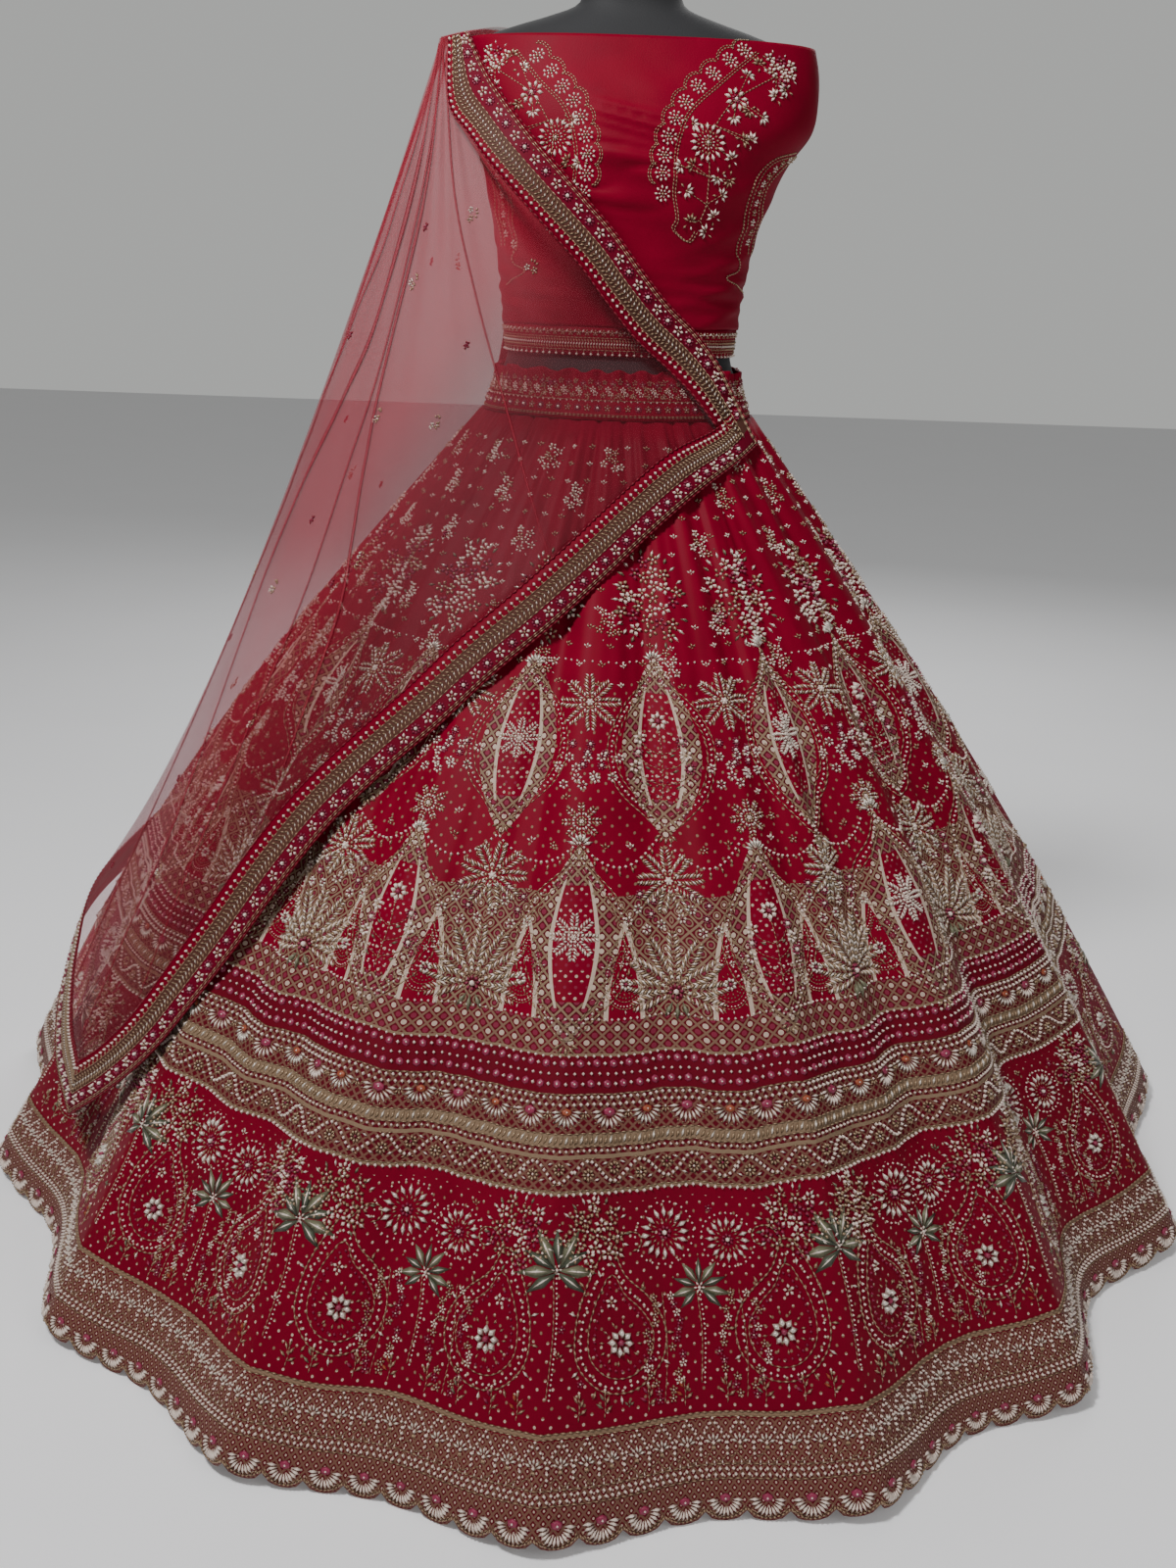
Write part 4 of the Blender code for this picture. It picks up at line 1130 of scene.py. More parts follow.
class Wardrobe:
    """The cloths, each worked out once when first asked for."""
    made = {}

    @classmethod
    def get(cls, name):
        if name not in cls.made:
            cls.made[name] = getattr(cls, name)()
        return cls.made[name]

    @staticmethod
    def skirt():
        steps = SCALLOPS * SCALLOP_STEPS
        columns = np.concatenate([
            np.linspace(FOLD_ENDS[k], FOLD_ENDS[k + 1], steps, endpoint=False) for k in range(KALIS)])
        columns = np.append(columns, FOLD_ENDS[-1])
        rows = np.concatenate([np.linspace(0, 0.2, 9)[:-1], np.linspace(0.2, 1, 25)])
        points = skirt_point(columns[None, :], rows[:, None])
        phase = np.arange(len(columns)) / SCALLOP_STEPS % 1
        cut = SCALLOP_DEPTH * np.sqrt(np.maximum(0, 1 - (2 * phase - 1) ** 2))
        edge = points[-1].copy()
        edge[:, 2] = np.maximum(edge[:, 2] - np.maximum(cut, 0.0008), 0.0)
        points = np.concatenate([points, edge[None]])
        return Cloth(columns, np.append(rows, 1 + SCALLOP_DEPTH / SKIRT_SLANT), points, ring=True,
                     marks=np.arange(len(columns)) / steps)

    @staticmethod
    def waistband():
        columns = np.linspace(0, 360, 385)
        shares = np.array([0, 0.12, 0.25, 0.4, 0.55, 0.7, 0.8, 0.88, 0.94, 1.0])
        height = between(BAND_SEAM + SEAM, BAND_TOP, shares)[:, None]
        share = shares[:, None]
        turn = np.radians(columns)[None, :]
        ruffle = RUFFLE_DEPTH * share * np.cos(BAND_RUFFLES * turn)
        frill = np.clip((share - 0.66) / 0.34, 0, 1) ** 1.3
        beat = 0.6 + 0.7 * np.cos(BAND_RUFFLES * 2 * turn + 1.5 * np.sin(5 * turn))
        ruffle = ruffle + frill * 0.0042 * beat
        rise = frill * 0.0022 * np.cos(BAND_RUFFLES * turn + 2.0 * np.sin(3 * turn))
        points = on_axis(columns[None, :], band_radius(columns[None, :], height) + ruffle, height + rise)
        return Cloth(columns, shares[::-1], points[::-1].copy(), ring=True, inside=(0, 0, 0.9))

    @staticmethod
    def choli():
        angles = np.linspace(0, 360, 145)
        heights = np.linspace(CHOLI_TOP, HEM_BAND_TOP + HEM_BAND_GAP, 84)
        angle, height = angles[None, :], heights[:, None]
        centred = (angle + 180) % 360 - 180
        radius = choli_radius(angle, height)
        # Bunched folds across the middle of the chest
        middle = np.exp(-((centred - 3) / 24) ** 4)
        wave = height / 0.0185 + 0.010 * centred + 0.8 * np.sin(height * 55 + 0.05 * centred)
        pull = np.abs(np.sin(np.pi * wave)) ** 0.7 * (0.62 + 0.38 * np.sin(height * 140 + 0.09 * centred))
        upper = np.exp(-((height - 1.228) / 0.062) ** 4)
        radius = radius + 0.0058 * middle * upper * pull
        # Slanted folds at the flanks
        flank = np.exp(-((np.abs(centred) - 62) / 26) ** 2) * np.clip((1.24 - height) / 0.05, 0, 1)
        slant = height * 62 - np.abs(centred) * 0.055 + 0.5 * np.sin(height * 40)
        radius = radius + 0.0026 * flank * (0.5 + 0.5 * np.sin(2 * np.pi * slant / 2.2)) ** 2
        # A soft unevenness all over
        soft = np.sin(np.radians(centred) * 7 + height * 31) * np.sin(height * 43 + np.radians(centred) * 3)
        radius = radius + 0.0007 * soft * np.clip((CHOLI_TOP - height) / 0.05, 0, 1)
        # Small rucks above the hem band
        waist = np.exp(-((height - 1.085) / 0.03) ** 2) * np.abs(np.sin(np.radians(centred)))
        radius = radius + 0.0012 * waist * np.sin(height * 2 * np.pi / 0.017 + 2.5 * np.radians(centred))
        return Cloth(angles, heights, on_axis(angle, radius, height), ring=True, inside=(0, 0, 1.2))

    @staticmethod
    def choli_band():
        angles = np.linspace(0, 360, 181)
        heights = np.linspace(HEM_BAND_TOP - HEM_BAND_GAP, CHOLI_BOTTOM, 6)
        radius = choli_radius(angles[None, :], heights[:, None]) + 0.0002
        points = on_axis(angles[None, :], radius, heights[:, None])
        return Cloth(angles, heights, points, ring=True, inside=(0, 0, 1.0))

    @staticmethod
    def tent():
        coarse = tent_grid()
        rows, columns = coarse.shape[:2]
        sharp = np.array([1.0, 1.0, 0.5] + [0.0] * (rows - 3))
        across, down = places_between(columns, 7), places_between(rows, 6)
        fine = finer(coarse, across, 1, corner=END_COLUMNS, sharp=sharp)
        fine = finer(fine, down, 0, corner=1, sharp=np.ones(len(across)))
        normals = grid_normals(fine)
        near = np.clip((down - 1) / (rows - 2), 0, 1)[:, None]
        share = ((across - 1) / (columns - 2))[None, :]
        inside = np.clip((across - 1.0) / 0.5, 0, 1) * np.clip((columns - 1 - across) / 0.5, 0, 1)
        rise = 0.0022 * near ** 1.6 * (0.5 + 0.5 * np.cos(2 * np.pi * 23 * share + 3 * np.sin(9 * share)))
        drape = np.sin(np.pi * near) * 0.0030 * np.sin(2 * np.pi * 4.5 * share + 2.0 * near)
        fine = fine + normals * ((rise + drape) * inside[None, :] * (near > 0))[..., None]
        return across, down, fine

    @classmethod
    def part(cls, whole, rows, columns):
        """A stretch of a grid between two rows and two columns, ready to be a cloth."""
        across, down, fine = cls.get(whole)
        r = np.where((down >= rows[0]) & (down <= rows[1]))[0]
        c = np.where((across >= columns[0]) & (across <= columns[1]))[0]
        return across[c], down[r], fine[np.ix_(r, c)]

    @classmethod
    def net_front(cls):
        return Cloth(*cls.part("tent", (1, ALL), (1, ALL)))

    @classmethod
    def edge_end(cls):
        return Cloth(*cls.part("tent", (0, 1), (0, END_COLUMNS)))

    @classmethod
    def edge_side(cls):
        return Cloth(*cls.part("tent", (0, 1), (END_COLUMNS, ALL)))

    @classmethod
    def edge_chest(cls):
        """Turned so that u runs along the border and v across it, from its outer edge."""
        across, down, points = cls.part("tent", (0, ALL), (0, 1))
        return Cloth(down, across, points.transpose(1, 0, 2).copy())

    @classmethod
    def fall(cls):
        coarse = fall_grid(int(cls.get("tent")[0][-1]) + 1)
        across, down = places_between(coarse.shape[1], 6), places_between(len(coarse), 4)
        return across, down, finer(finer(coarse, across, 1), down, 0)

    @classmethod
    def net_back(cls):
        last = cls.get("fall")[0][-1]
        return Cloth(*cls.part("fall", (0, FALL_ROWS - 1), (FALL_SIDE, last - FALL_SIDE)))

    @classmethod
    def fall_end(cls):
        last = cls.get("fall")[0][-1]
        across, down, points = cls.part("fall", (FALL_ROWS - 1, FALL_ROWS), (FALL_SIDE, last - FALL_SIDE))
        return Cloth(across, (FALL_ROWS - down)[::-1], points[::-1].copy())

    @classmethod
    def fall_right(cls):
        across, down, points = cls.part("fall", (0, FALL_ROWS), (0, FALL_SIDE))
        return Cloth(down, across / FALL_SIDE, points.transpose(1, 0, 2).copy())

    @classmethod
    def fall_left(cls):
        last = cls.get("fall")[0][-1]
        across, down, points = cls.part("fall", (0, FALL_ROWS), (last - FALL_SIDE, last))
        return Cloth(down, ((last - across) / FALL_SIDE)[::-1], points.transpose(1, 0, 2)[::-1].copy())

    @classmethod
    def tuck(cls):
        _, _, tent = cls.get("tent")
        _, _, fall = cls.get("fall")
        shares = np.linspace(0, 1, 85)
        start, end = (
            np.stack([np.interp(shares, np.linspace(0, 1, len(line)), line[:, k]) for k in range(3)], 1)
            for line in (tent[-1], fall[0]))
        down = np.linspace(0, 1, 19)
        rise = TUCK_RISE * np.sin(np.pi * down)
        points = between(start[None], end[None], down[:, None, None])
        points[..., 2] += rise[:, None]
        ruck = 0.0022 * np.sin(np.pi * down)[:, None] * np.cos(2 * np.pi * 7 * shares + 1.0)[None]
        points[..., 2] += np.abs(ruck)
        return Cloth(shares, down, points, inside=(-0.15, 0.0, 1.2))


# Larger motifs, in millimetres

def mirrored(knots):
    """A line and its mirror image, as one closed outline from top to bottom and back."""
    return list(knots) + [(-x, y) for x, y in list(knots)[-2:0:-1]]


def scaled(knots, size):
    return [(x * size, y * size) for x, y in knots]


def half_width(knots, y):
    """Half the width of a mirrored outline at a height, or below 0 outside it."""
    heights = np.array([k[1] for k in knots])[::-1]
    widths = np.array([k[0] for k in knots])[::-1]
    return float(np.interp(y, heights, widths)) if heights[0] < y < heights[-1] else -1.0


def flower_spray(size, count, seed, threads=(IVORY, IVORY, GOLD, PINK), leaves=True, tall=1.0):
    """A mass of small round flowers with leaves at its rim."""
    draw = np.random.default_rng(seed)
    made = []
    for k in range(count):
        out = size * 0.5 * math.sqrt((k + 0.3) / count)
        turn = math.radians(137.5 * k + 20 * draw.random())
        x, y = out * math.cos(turn), out * math.sin(turn) * tall
        thread = threads[int(draw.integers(len(threads)))]
        width = size / math.sqrt(count) * 1.08
        made += moved(ivory_flower(width, 5, thread, GOLD if thread != GOLD else IVORY), x, y,
                      70 * draw.random())
    if leaves:
        rim = max(6, int(count * 0.9))
        for k in range(rim):
            turn = 360 * k / rim + 10 * draw.random()
            x, y = around(turn, size * 0.56)
            made.append(stitch(x, y * tall, turn, size * 0.13, size * 0.05, SILVER if k % 3 else SAGE))
    return made


def flower_cluster(count, seed):
    """Flowers and pink rounds set close together in a spiral."""
    draw = np.random.default_rng(seed)
    made = []
    for k in range(count):
        out = 9.3 * math.sqrt(k + 0.5)
        head = ivory_flower(12, 6, (IVORY, SILVER)[k % 2], PINK) if k % 3 else pink_round(11)
        made += moved(head, out * math.cos(2.4 * k), out * math.sin(2.4 * k), 60 * draw.random())
    return made


# Half of a medallion's outline, from top to bottom
OGEE = [(0, 98), (14, 76), (44, 46), (60, 6), (52, -38), (24, -74), (0, -96)]


def outlined(knots, threads, step=8.5):
    """Rows of thread and beads inside one another round an outline."""
    made, size = [], 1.0
    for thread, width in threads:
        outline = scaled(knots, size)
        if width > 2.6:
            made += bead_line(outline, width * 1.8, width, thread, closed=True)
        else:
            made += chain(outline, step, width, thread, closed=True)
        size -= 0.075
    return made


def shrub(tall, flowers, thread=GOLD):
    """A flowering shrub: a stem with curved branches that end in flowers."""
    made = chain([(0, 0), (tall * 0.02, tall * 0.5), (0, tall * 0.8)], 5, 1.6, thread)
    made += moved(ivory_flower(tall * 0.24, 8, IVORY, PINK), 0, tall * 0.88)
    for k in range(flowers):
        base = tall * (0.12 + 0.55 * k / max(1, flowers))
        reach = tall * (0.30 - 0.03 * k)
        for side in (-1, 1):
            branch = [(0, base), (side * reach * 0.6, base + reach * 0.25),
                      (side * reach, base + reach * 0.7)]
            made += chain(branch, 5, 1.3, thread)
            head = pink_round(tall * 0.15) if (k + (side > 0)) % 2 else ivory_flower(tall * 0.17, 6)
            made += moved(head, side * reach, base + reach * 0.8)
            made.append(stitch(side * reach * 0.55, base + reach * 0.05, side * 30 if side > 0 else 150,
                               tall * 0.09, tall * 0.035, SAGE))
    return made


def palmette(size, leaves=9):
    """An upright fan of herringbone leaves over a round."""
    made = []
    for k in range(leaves):
        turn = -14 + 208 * k / (leaves - 1)
        reach = size * (0.52 + 0.12 * math.sin(math.radians(turn)))
        made += moved(herringbone_leaf(reach, size * 0.15, SILVER if k % 2 else IVORY, GOLD), turn=turn)
    return made + pink_round(size * 0.17) + petals(3, size * 0.09, size * 0.2, size * 0.06, SAGE, 245, 50)


def swag(width, drop):
    """A hanging row of beads with a leaf below each third one."""
    knots = [(width * t, -4 * drop * t * (1 - t)) for t in np.linspace(0, 1, 7)]
    return bead_line(knots, 6.2, 4.0, IVORY) + [
        stitch(x, y - 6, 90, 8, 3.4, GOLD) for x, y in smooth_line(knots, np.linspace(0.08, 0.92, 7))[0]]


def medallion(kind):
    made = outlined(mirrored(OGEE), ((GOLD, 2.2), (IVORY, 3.3), (GOLD, 1.8)))
    if kind == 0:
        made += moved(palm_star(58, 8, SILVER, IVORY), 0, 6)
    else:
        made += moved(shrub(96, 3), 0, -56)
        for k in range(7):
            y = -66 + 5.2 * k
            wide = half_width(OGEE, y) * 0.72
            made += [bead(x, y, 3.0, (IVORY, GOLD, PINK)[k % 3]) for x in np.arange(-wide, wide, 7.0)]
    made += petals(7, 3, 13, 4.2, SILVER, 20, 140, y=98)
    made += petals(5, 3, 11, 4.0, GOLD, -150, 120, y=-97)
    return made


# A paisley's outline
DROP_LEAF = [(-30, 58), (-40, 30), (-44, 0), (-38, -30), (-14, -50), (14, -48), (34, -26), (34, 2), (16, 26),
             (-6, 42), (-20, 62)]


def paisley(kind=0):
    """A mango-shaped motif with a curled tip and rows of thread inside."""
    made = chain(DROP_LEAF, 6, 2.3, GOLD, closed=True)
    for size, thread, width in ((0.86, IVORY, 3.2), (0.72, GOLD, 1.8), (0.60, PINK if kind else SAGE, 3.0)):
        outline = [(x * size - 1, y * size - 3) for x, y in DROP_LEAF]
        made += (bead_line(outline, 5.6, width, thread, closed=True) if width > 2.6
                 else chain(outline, 6, width, thread, closed=True))
    made += moved(ivory_flower(24, 8, SILVER, PINK), -4, -12)
    made += petals(12, 14, 5, 2.2, GOLD, 0, x=-4, y=-12)
    made += moved(ivory_flower(11, 5), -16, 20)
    made += chain([(-20, 62), (-10, 76), (4, 76), (6, 66), (-1, 62)], 5, 2.0, GOLD)
    for k in range(11):
        x, y = smooth_line(DROP_LEAF, [0.10 + 0.075 * k])[0][0]
        turn = math.degrees(math.atan2(y + 4, x + 4))
        made.append(stitch(x * 1.10, y * 1.10, turn, 8, 3.0, SILVER if k % 2 else GOLD))
    return made


def lotus(size):
    """A round lotus: a bead rim, silver petals and a flowered middle."""
    turns = np.linspace(0, 2 * math.pi, 29)[:-1]
    made = [bead(size / 2 * math.cos(t), size / 2 * math.sin(t), 2.8, IVORY) for t in turns]
    made += petals(16, size * 0.22, size * 0.22, size * 0.095, SILVER)
    made += petals(16, size * 0.15, size * 0.10, 1.8, GOLD, 11)
    return made + pink_round(size * 0.26)


def palm_tree(tall):
    """A palm with green leaves, each with a bead vein, on a beaded stem."""
    made = bead_line([(0, 0), (3, tall * 0.4), (0, tall * 0.74)], 4.4, 2.6, IVORY)
    made += chain([(-3, 0), (0, tall * 0.4), (-3, tall * 0.74)], 6, 1.5, GOLD)
    crown = tall * 0.76
    for k, turn in enumerate((-38, -8, 24, 56, 90, 124, 156, 188, 218)):
        length = tall * (0.27 if k % 2 else 0.24)
        for part, width, thread, height in ((1.0, 0.30, SAGE if k % 2 else LEAF, 1.4),
                                            (0.8, 0.09, IVORY, 2.6)):
            middle = around(turn, length * 0.55, y=crown)
            made.append(stitch(*middle, turn, length * part, length * width, thread, height))
        made.append(bead(*around(turn, length * 1.12, y=crown), 2.6, GOLD))
    return made + petals(6, 1.5, 5, 2.4, IVORY, y=crown) + [bead(0, crown, 5, IVORY)]


def cascade(tall, seed):
    """Small gold flowers that hang in a loose column."""
    draw = np.random.default_rng(seed)
    made = chain([(0, tall), (4, tall * 0.5), (0, 0)], 6, 1.3, GOLD)
    count = int(tall / 7.5)
    for k in range(count):
        y = tall * (k + 0.5) / count
        wide = tall * 0.26 * math.sin(math.pi * (0.12 + 0.8 * k / count))
        for side in (-1, 1):
            thread = (GOLD, IVORY, GOLD, PINK)[int(draw.integers(4))]
            made += moved(ivory_flower(9.5, 5, thread, IVORY), side * wide * (0.35 + 0.65 * draw.random()), y)
    return made


def small_plant(kind):
    """A little plant with coloured leaves."""
    thread = (GOLD, SAGE, PINK, RUST)[kind % 4]
    made = chain([(0, 0), (1, 10), (0, 20)], 5, 1.4, GOLD)
    for k, turn in enumerate((35, 145, 60, 120, 90)):
        x, y = around(turn, 6)[0], around(turn, 4, y=6 + 3.2 * k)[1]
        made.append(stitch(x, y, turn, 9.5, 3.4, thread if k % 2 else GOLD))
    return made + [bead(0, 25, 3.6, IVORY)]


def fan(kind):
    """A fan that hangs from a band: a half disc with a bead, and petals below it."""
    centre = PINK if kind == 0 else RUST
    size = 8.0 if kind == 0 else 6.5
    made = [stitch(0, -2.5, 0, size * 1.7, size * 1.2, centre, 1.5, ROUND), bead(0, -2.5, 4.0, IVORY)]
    made += petals(10, size * 0.90, 12.0, 3.5, IVORY if kind == 0 else SILVER, -172, 164, y=-1)
    return made + petals(11, size * 0.95 + 10, 2.4, 2.2, GOLD, -172, 164, y=-1)


def trefoil():
    return petals(3, 1.0, 6.5, 2.8, GOLD, -130, 80) + [bead(0, 0, 3.2, IVORY)]


def vine(pitch):
    """One wave of the vine: a bead line, a flower in each hump, leaves and scrolls."""
    wave = [(pitch * t, 9.5 * math.sin(2 * math.pi * t)) for t in np.linspace(0, 1, 9)]
    made = bead_line(wave, 5.2, 4.8, IVORY)
    for side, thread in ((1, IVORY), (-1, PINK)):
        x, y = pitch * (0.25 if side > 0 else 0.75), -side * 3.2
        made += moved(ivory_flower(14, 8, GOLD, thread), x, y)
        for turn in (20, 160):
            made.append(stitch(x + 9.5 * (1 if turn == 20 else -1), y - side * 4.5, side * (turn - 90) + 90,
                               7.5, 2.6, SILVER))
        made += chain([(x - 7, side * 12.5), (x, side * 10.5), (x + 7, side * 12.5)], 4.5, 1.5, GOLD)
    return made


def arch(pitch):
    """A cusped arch of small beads over a flower fan, with scrolls below."""
    half = pitch / 2
    knots = [(-half, 4), (-half * 0.92, 16), (-half * 0.62, 24), (-half * 0.50, 27), (-half * 0.22, 31),
             (0, 36)]
    side = bead_line(knots, 4.9, 3.8, IVORY)
    made = side + [(-s[0], *s[1:]) for s in side[:-1]]
    made += petals(5, 2.0, 7.5, 2.8, SILVER, 18, 144, y=14) + [bead(0, 14, 4.8, IVORY)]
    made += petals(3, 0.5, 6, 2.2, GOLD, 250, 40, y=13)
    scroll = [(-half * 0.8, 1), (-half * 0.3, 5), (0, 1), (half * 0.3, -3), (half * 0.8, 1)]
    made += chain(scroll, 4.0, 1.4, GOLD)
    return made + [stitch(x, -3.5, 90, 4.6, 1.7, IVORY) for x in (-half * 0.6, 0, half * 0.6)]


def scallop_fan(width):
    """A scallop of the hem: a pink round with petals down to a gold edge."""
    made = [stitch(0, 9.5, 0, 12, 9.5, PINK, 1.8, ROUND), bead(0, 9.5, 4.8, IVORY)]
    made += petals(12, 6.6, 12.0, 3.4, IVORY, -176, 172, y=8.5)
    turns = np.linspace(0.12, math.pi - 0.12, 13)
    edge = [(width / 2 * math.cos(t), -12.0 * math.sin(t) + 2.0) for t in turns]
    return made + chain(edge, 4.0, 2.6, GOLD) + chain([(x * 0.93, y + 2.6) for x, y in edge], 4.5, 1.5, GOLD)


# Where the sewing goes

def round_places(cloth, drop, pitch, shift=0.0, multiple=1):
    """Angles evenly spaced by length round a cloth at a drop, and the exact pitch in metres."""
    angles = np.linspace(cloth.u[0], cloth.u[-1], 2161)
    points = cloth.read(cloth.points, angles, np.full(len(angles), drop))
    run = np.concatenate([[0], np.cumsum(np.linalg.norm(np.diff(points, axis=0), axis=1))])
    count = max(multiple, int(round(run[-1] / pitch / multiple)) * multiple)
    wanted = (np.arange(count) + shift) / count * run[-1]
    return np.interp(wanted, run, angles), run[-1] / count


def row_of(sewing, cloth, motif, drop, pitch, shift=0.0, **how):
    angles, _ = round_places(cloth, drop, pitch, shift)
    sewing.lay(cloth, motif, angles, drop, **how)


# Stitches of a cord overlap: their length in millimetres for each metre between them
CORD_STITCH, LINE_STITCH = 1350, 1300


def cord_row(sewing, cloth, drop, thread, width=2.0, step=7.0):
    """A laid cord right round a cloth."""
    angles, pitch = round_places(cloth, drop, step * MM)
    sewing.lay(cloth, [stitch(0, 0, 0, pitch * CORD_STITCH, width, thread)], angles, drop)


def kali_marks(drop, part):
    """The angle and the size of each kali at a part of its width, 0 or 1 at a ridge and 0.5 midway."""
    skirt = Wardrobe.get("skirt")
    start, width = FOLD_ENDS[:-1], np.diff(FOLD_ENDS)
    angles = start + width * part
    metres = skirt.scale(angles, np.full(KALIS, drop))[0] * width
    return angles, metres


def on_kalis(sewing, taken, motif, drop, part, radius, **how):
    """Lays a motif on every kali and notes the room that it takes."""
    angles, _ = kali_marks(drop, part)
    sewing.lay(Wardrobe.get("skirt"), motif, angles, drop, **how)
    taken.extend((angle, drop, radius) for angle in angles)


def upper_sewing(shapes):
    """The field of sprigs and clusters under the waistband, down to the garden band."""
    skirt, sewing = Wardrobe.get("skirt"), Sewing(shapes)
    taken = []
    angles, _ = kali_marks(0.185, 0.5)
    for k, angle in enumerate(angles):
        sewing.lay(skirt, flower_spray(80, 26, 40 + k, (IVORY, GOLD, PINK, IVORY), tall=1.25), angle, 0.188)
        taken.append((angle, 0.188, 0.052))
    rows = ((0.045, 0.0), (0.085, 0.5), (0.135, 0.0), (0.215, 0.0), (0.255, 0.5))
    for row, (drop, shift) in enumerate(rows):
        spots, _ = round_places(skirt, drop, 0.105, shift, multiple=KALIS)
        for k, angle in enumerate(spots):
            if all(far_apart(skirt, angle, drop, spot) for spot in taken):
                spray = flower_spray(27, 7, 7 * k + row, (IVORY, GOLD, IVORY), tall=1.3)
                sewing.lay(skirt, spray, angle, drop, turn=20 * math.sin(k * 2.1 + row))
                taken.append((angle, drop, 0.020))
    scatter(sewing, skirt, 0.022, 0.285, 0.0245, taken, (sprig(10.5), sprig(9.5, IVORY)))
    return sewing.joined("sewing_upper")


def far_apart(cloth, angle, drop, spot):
    """Whether a place is clear of a spot, given as its angle, drop and radius in metres."""
    away = (angle - spot[0] + 180) % 360 - 180
    per_u, per_v = cloth.scale(np.array([spot[0]]), np.array([drop]))
    return math.hypot(away * per_u[0], (drop - spot[1]) * per_v[0]) > spot[2]


def scatter(sewing, cloth, top, bottom, pitch, taken, motifs):
    """Small motifs in a half drop between two drops, left out where something larger is."""
    spots = np.array(taken)
    rows = int((bottom - top) * SKIRT_SLANT / (pitch * 0.87))
    for r in range(rows):
        drop = top + (bottom - top) * (r + 0.5) / rows
        angles, _ = round_places(cloth, drop, pitch, 0.5 * (r % 2))
        if len(spots):
            away = (angles[:, None] - spots[None, :, 0] + 180) % 360 - 180
            per_u = cloth.scale(angles, np.full(len(angles), drop))[0][:, None]
            clear = np.hypot(away * per_u, (drop - spots[None, :, 1]) * SKIRT_SLANT) > spots[None, :, 2]
            angles = angles[clear.all(axis=1)]
        for k, motif in enumerate(motifs):
            chosen = angles[k::len(motifs)]
            if len(chosen):
                sewing.lay(cloth, motif, chosen, drop, turn=12 * np.sin(chosen * 3.0 + r))


def garden_sewing(shapes):
    """The tall garden band: ogee medallions in two tiers, palm stars, flower sprays and rounds between."""
    skirt, sewing = Wardrobe.get("skirt"), Sewing(shapes)
    taken = []
    for drop, part, kinds, base in ((0.335, 0.5, (0, 1), 165.0), (0.515, 0.0, (1, 0), 205.0)):
        angles, metres = kali_marks(drop, part)
        for kind in (0, 1):
            chosen = np.arange(KALIS) % 2 == kind
            size = np.clip(metres[chosen] * 1000 / base, 0.80, 1.10)
            sewing.lay(skirt, medallion(kinds[kind]), angles[chosen], drop, size=size)
        taken += [(a, drop - 0.035, 0.062) for a in angles] + [(a, drop + 0.035, 0.062) for a in angles]
    for drop, part, size, leaves in ((0.292, 0.0, 76, 8), (0.462, 0.5, 84, 9), (0.405, 0.0, 50, 8)):
        on_kalis(sewing, taken, palm_star(size, leaves), drop, part, size * 0.0006,
                 turn=8 * np.sin(np.arange(KALIS) * 2.3))
    for drop, part, count in ((0.352, 0.06, 9), (0.352, 0.94, 9), (0.492, 0.36, 7), (0.492, 0.64, 7)):
        angles, _ = kali_marks(drop, part)
        for k, angle in enumerate(angles):
            sewing.lay(skirt, flower_cluster(count, 11 * k + count), angle, drop)
            taken.append((angle, drop, 0.034))
    angles, _ = kali_marks(0.560, 0.5)
    sewing.lay(skirt, palmette(104), angles, 0.562)
    taken += [(a, 0.545, 0.052) for a in angles]
    for part in (0.0, 0.5):
        angles, _ = kali_marks(0.425, part)
        sewing.lay(skirt, swag(82, 24), angles, 0.425)
    for part, turn, mirror in ((0.27, -8, False), (0.73, 8, True)):
        on_kalis(sewing, taken, paisley(0), 0.545, part, 0.036, turn=turn, size=0.62, mirror=mirror)
    for drop, step, size, thread in ((0.2520, 0.0085, 3.2, IVORY), (0.5815, 0.0068, 3.6, IVORY)):
        row_of(sewing, skirt, [bead(0, 0, size, thread)], drop, step)
    small = (ivory_flower(10.5, 5, GOLD, IVORY), sprig(12), sprig(11, IVORY))
    scatter(sewing, skirt, 0.285, 0.462, 0.0275, taken, small)
    return sewing.joined("sewing_garden")


def border_sewing(shapes):
    """The middle border: bead rows, fans, a bugle band and the vine."""
    skirt, sewing = Wardrobe.get("skirt"), Sewing(shapes)
    for drop, shift in ((0.6195, 0.0), (0.6370, 0.5)):
        rounds = [stitch(0, 0, 0, 9.0, 9.0, PINK, 1.6, ROUND), bead(0, 0, 4.4, IVORY)]
        rounds.append(bead(8.5, 0, 4.6, IVORY))
        row_of(sewing, skirt, rounds, drop, 0.017, shift)
    for drop in (0.6135, 0.6283):
        row_of(sewing, skirt, [bead(0, 0, 4.0, IVORY)], drop, 0.0085)
    for drop, size, step in ((0.6485, 4.8, 0.0068), (0.6545, 4.8, 0.0068), (0.6935, 3.8, 0.0060),
                             (0.7295, 4.8, 0.0072)):
        row_of(sewing, skirt, [bead(0, 0, size, IVORY)], drop, step)
    for drop, width in ((0.646, 2.0), (0.679, 2.0), (0.690, 2.0), (0.7265, 1.6)):
        cord_row(sewing, skirt, drop, GOLD, width)
    row_of(sewing, skirt, [stitch(0, 0, 66, 11.0, 3.2, GOLD), stitch(5, 0, 66, 11.0, 3.2, SILVER),
                           stitch(10, 0, 66, 11.0, 3.2, GOLD)], 0.6845, 0.015)
    row_of(sewing, skirt, fan(0) + moved(fan(1), 40, 0) + moved(trefoil(), 20, -3) + moved(trefoil(), 60, -3),
           0.6585, 0.080)
    angles, pitch = round_places(skirt, 0.711, 0.054)
    sewing.lay(skirt, vine(pitch * 1000), angles, 0.711)
    return sewing.joined("sewing_border")


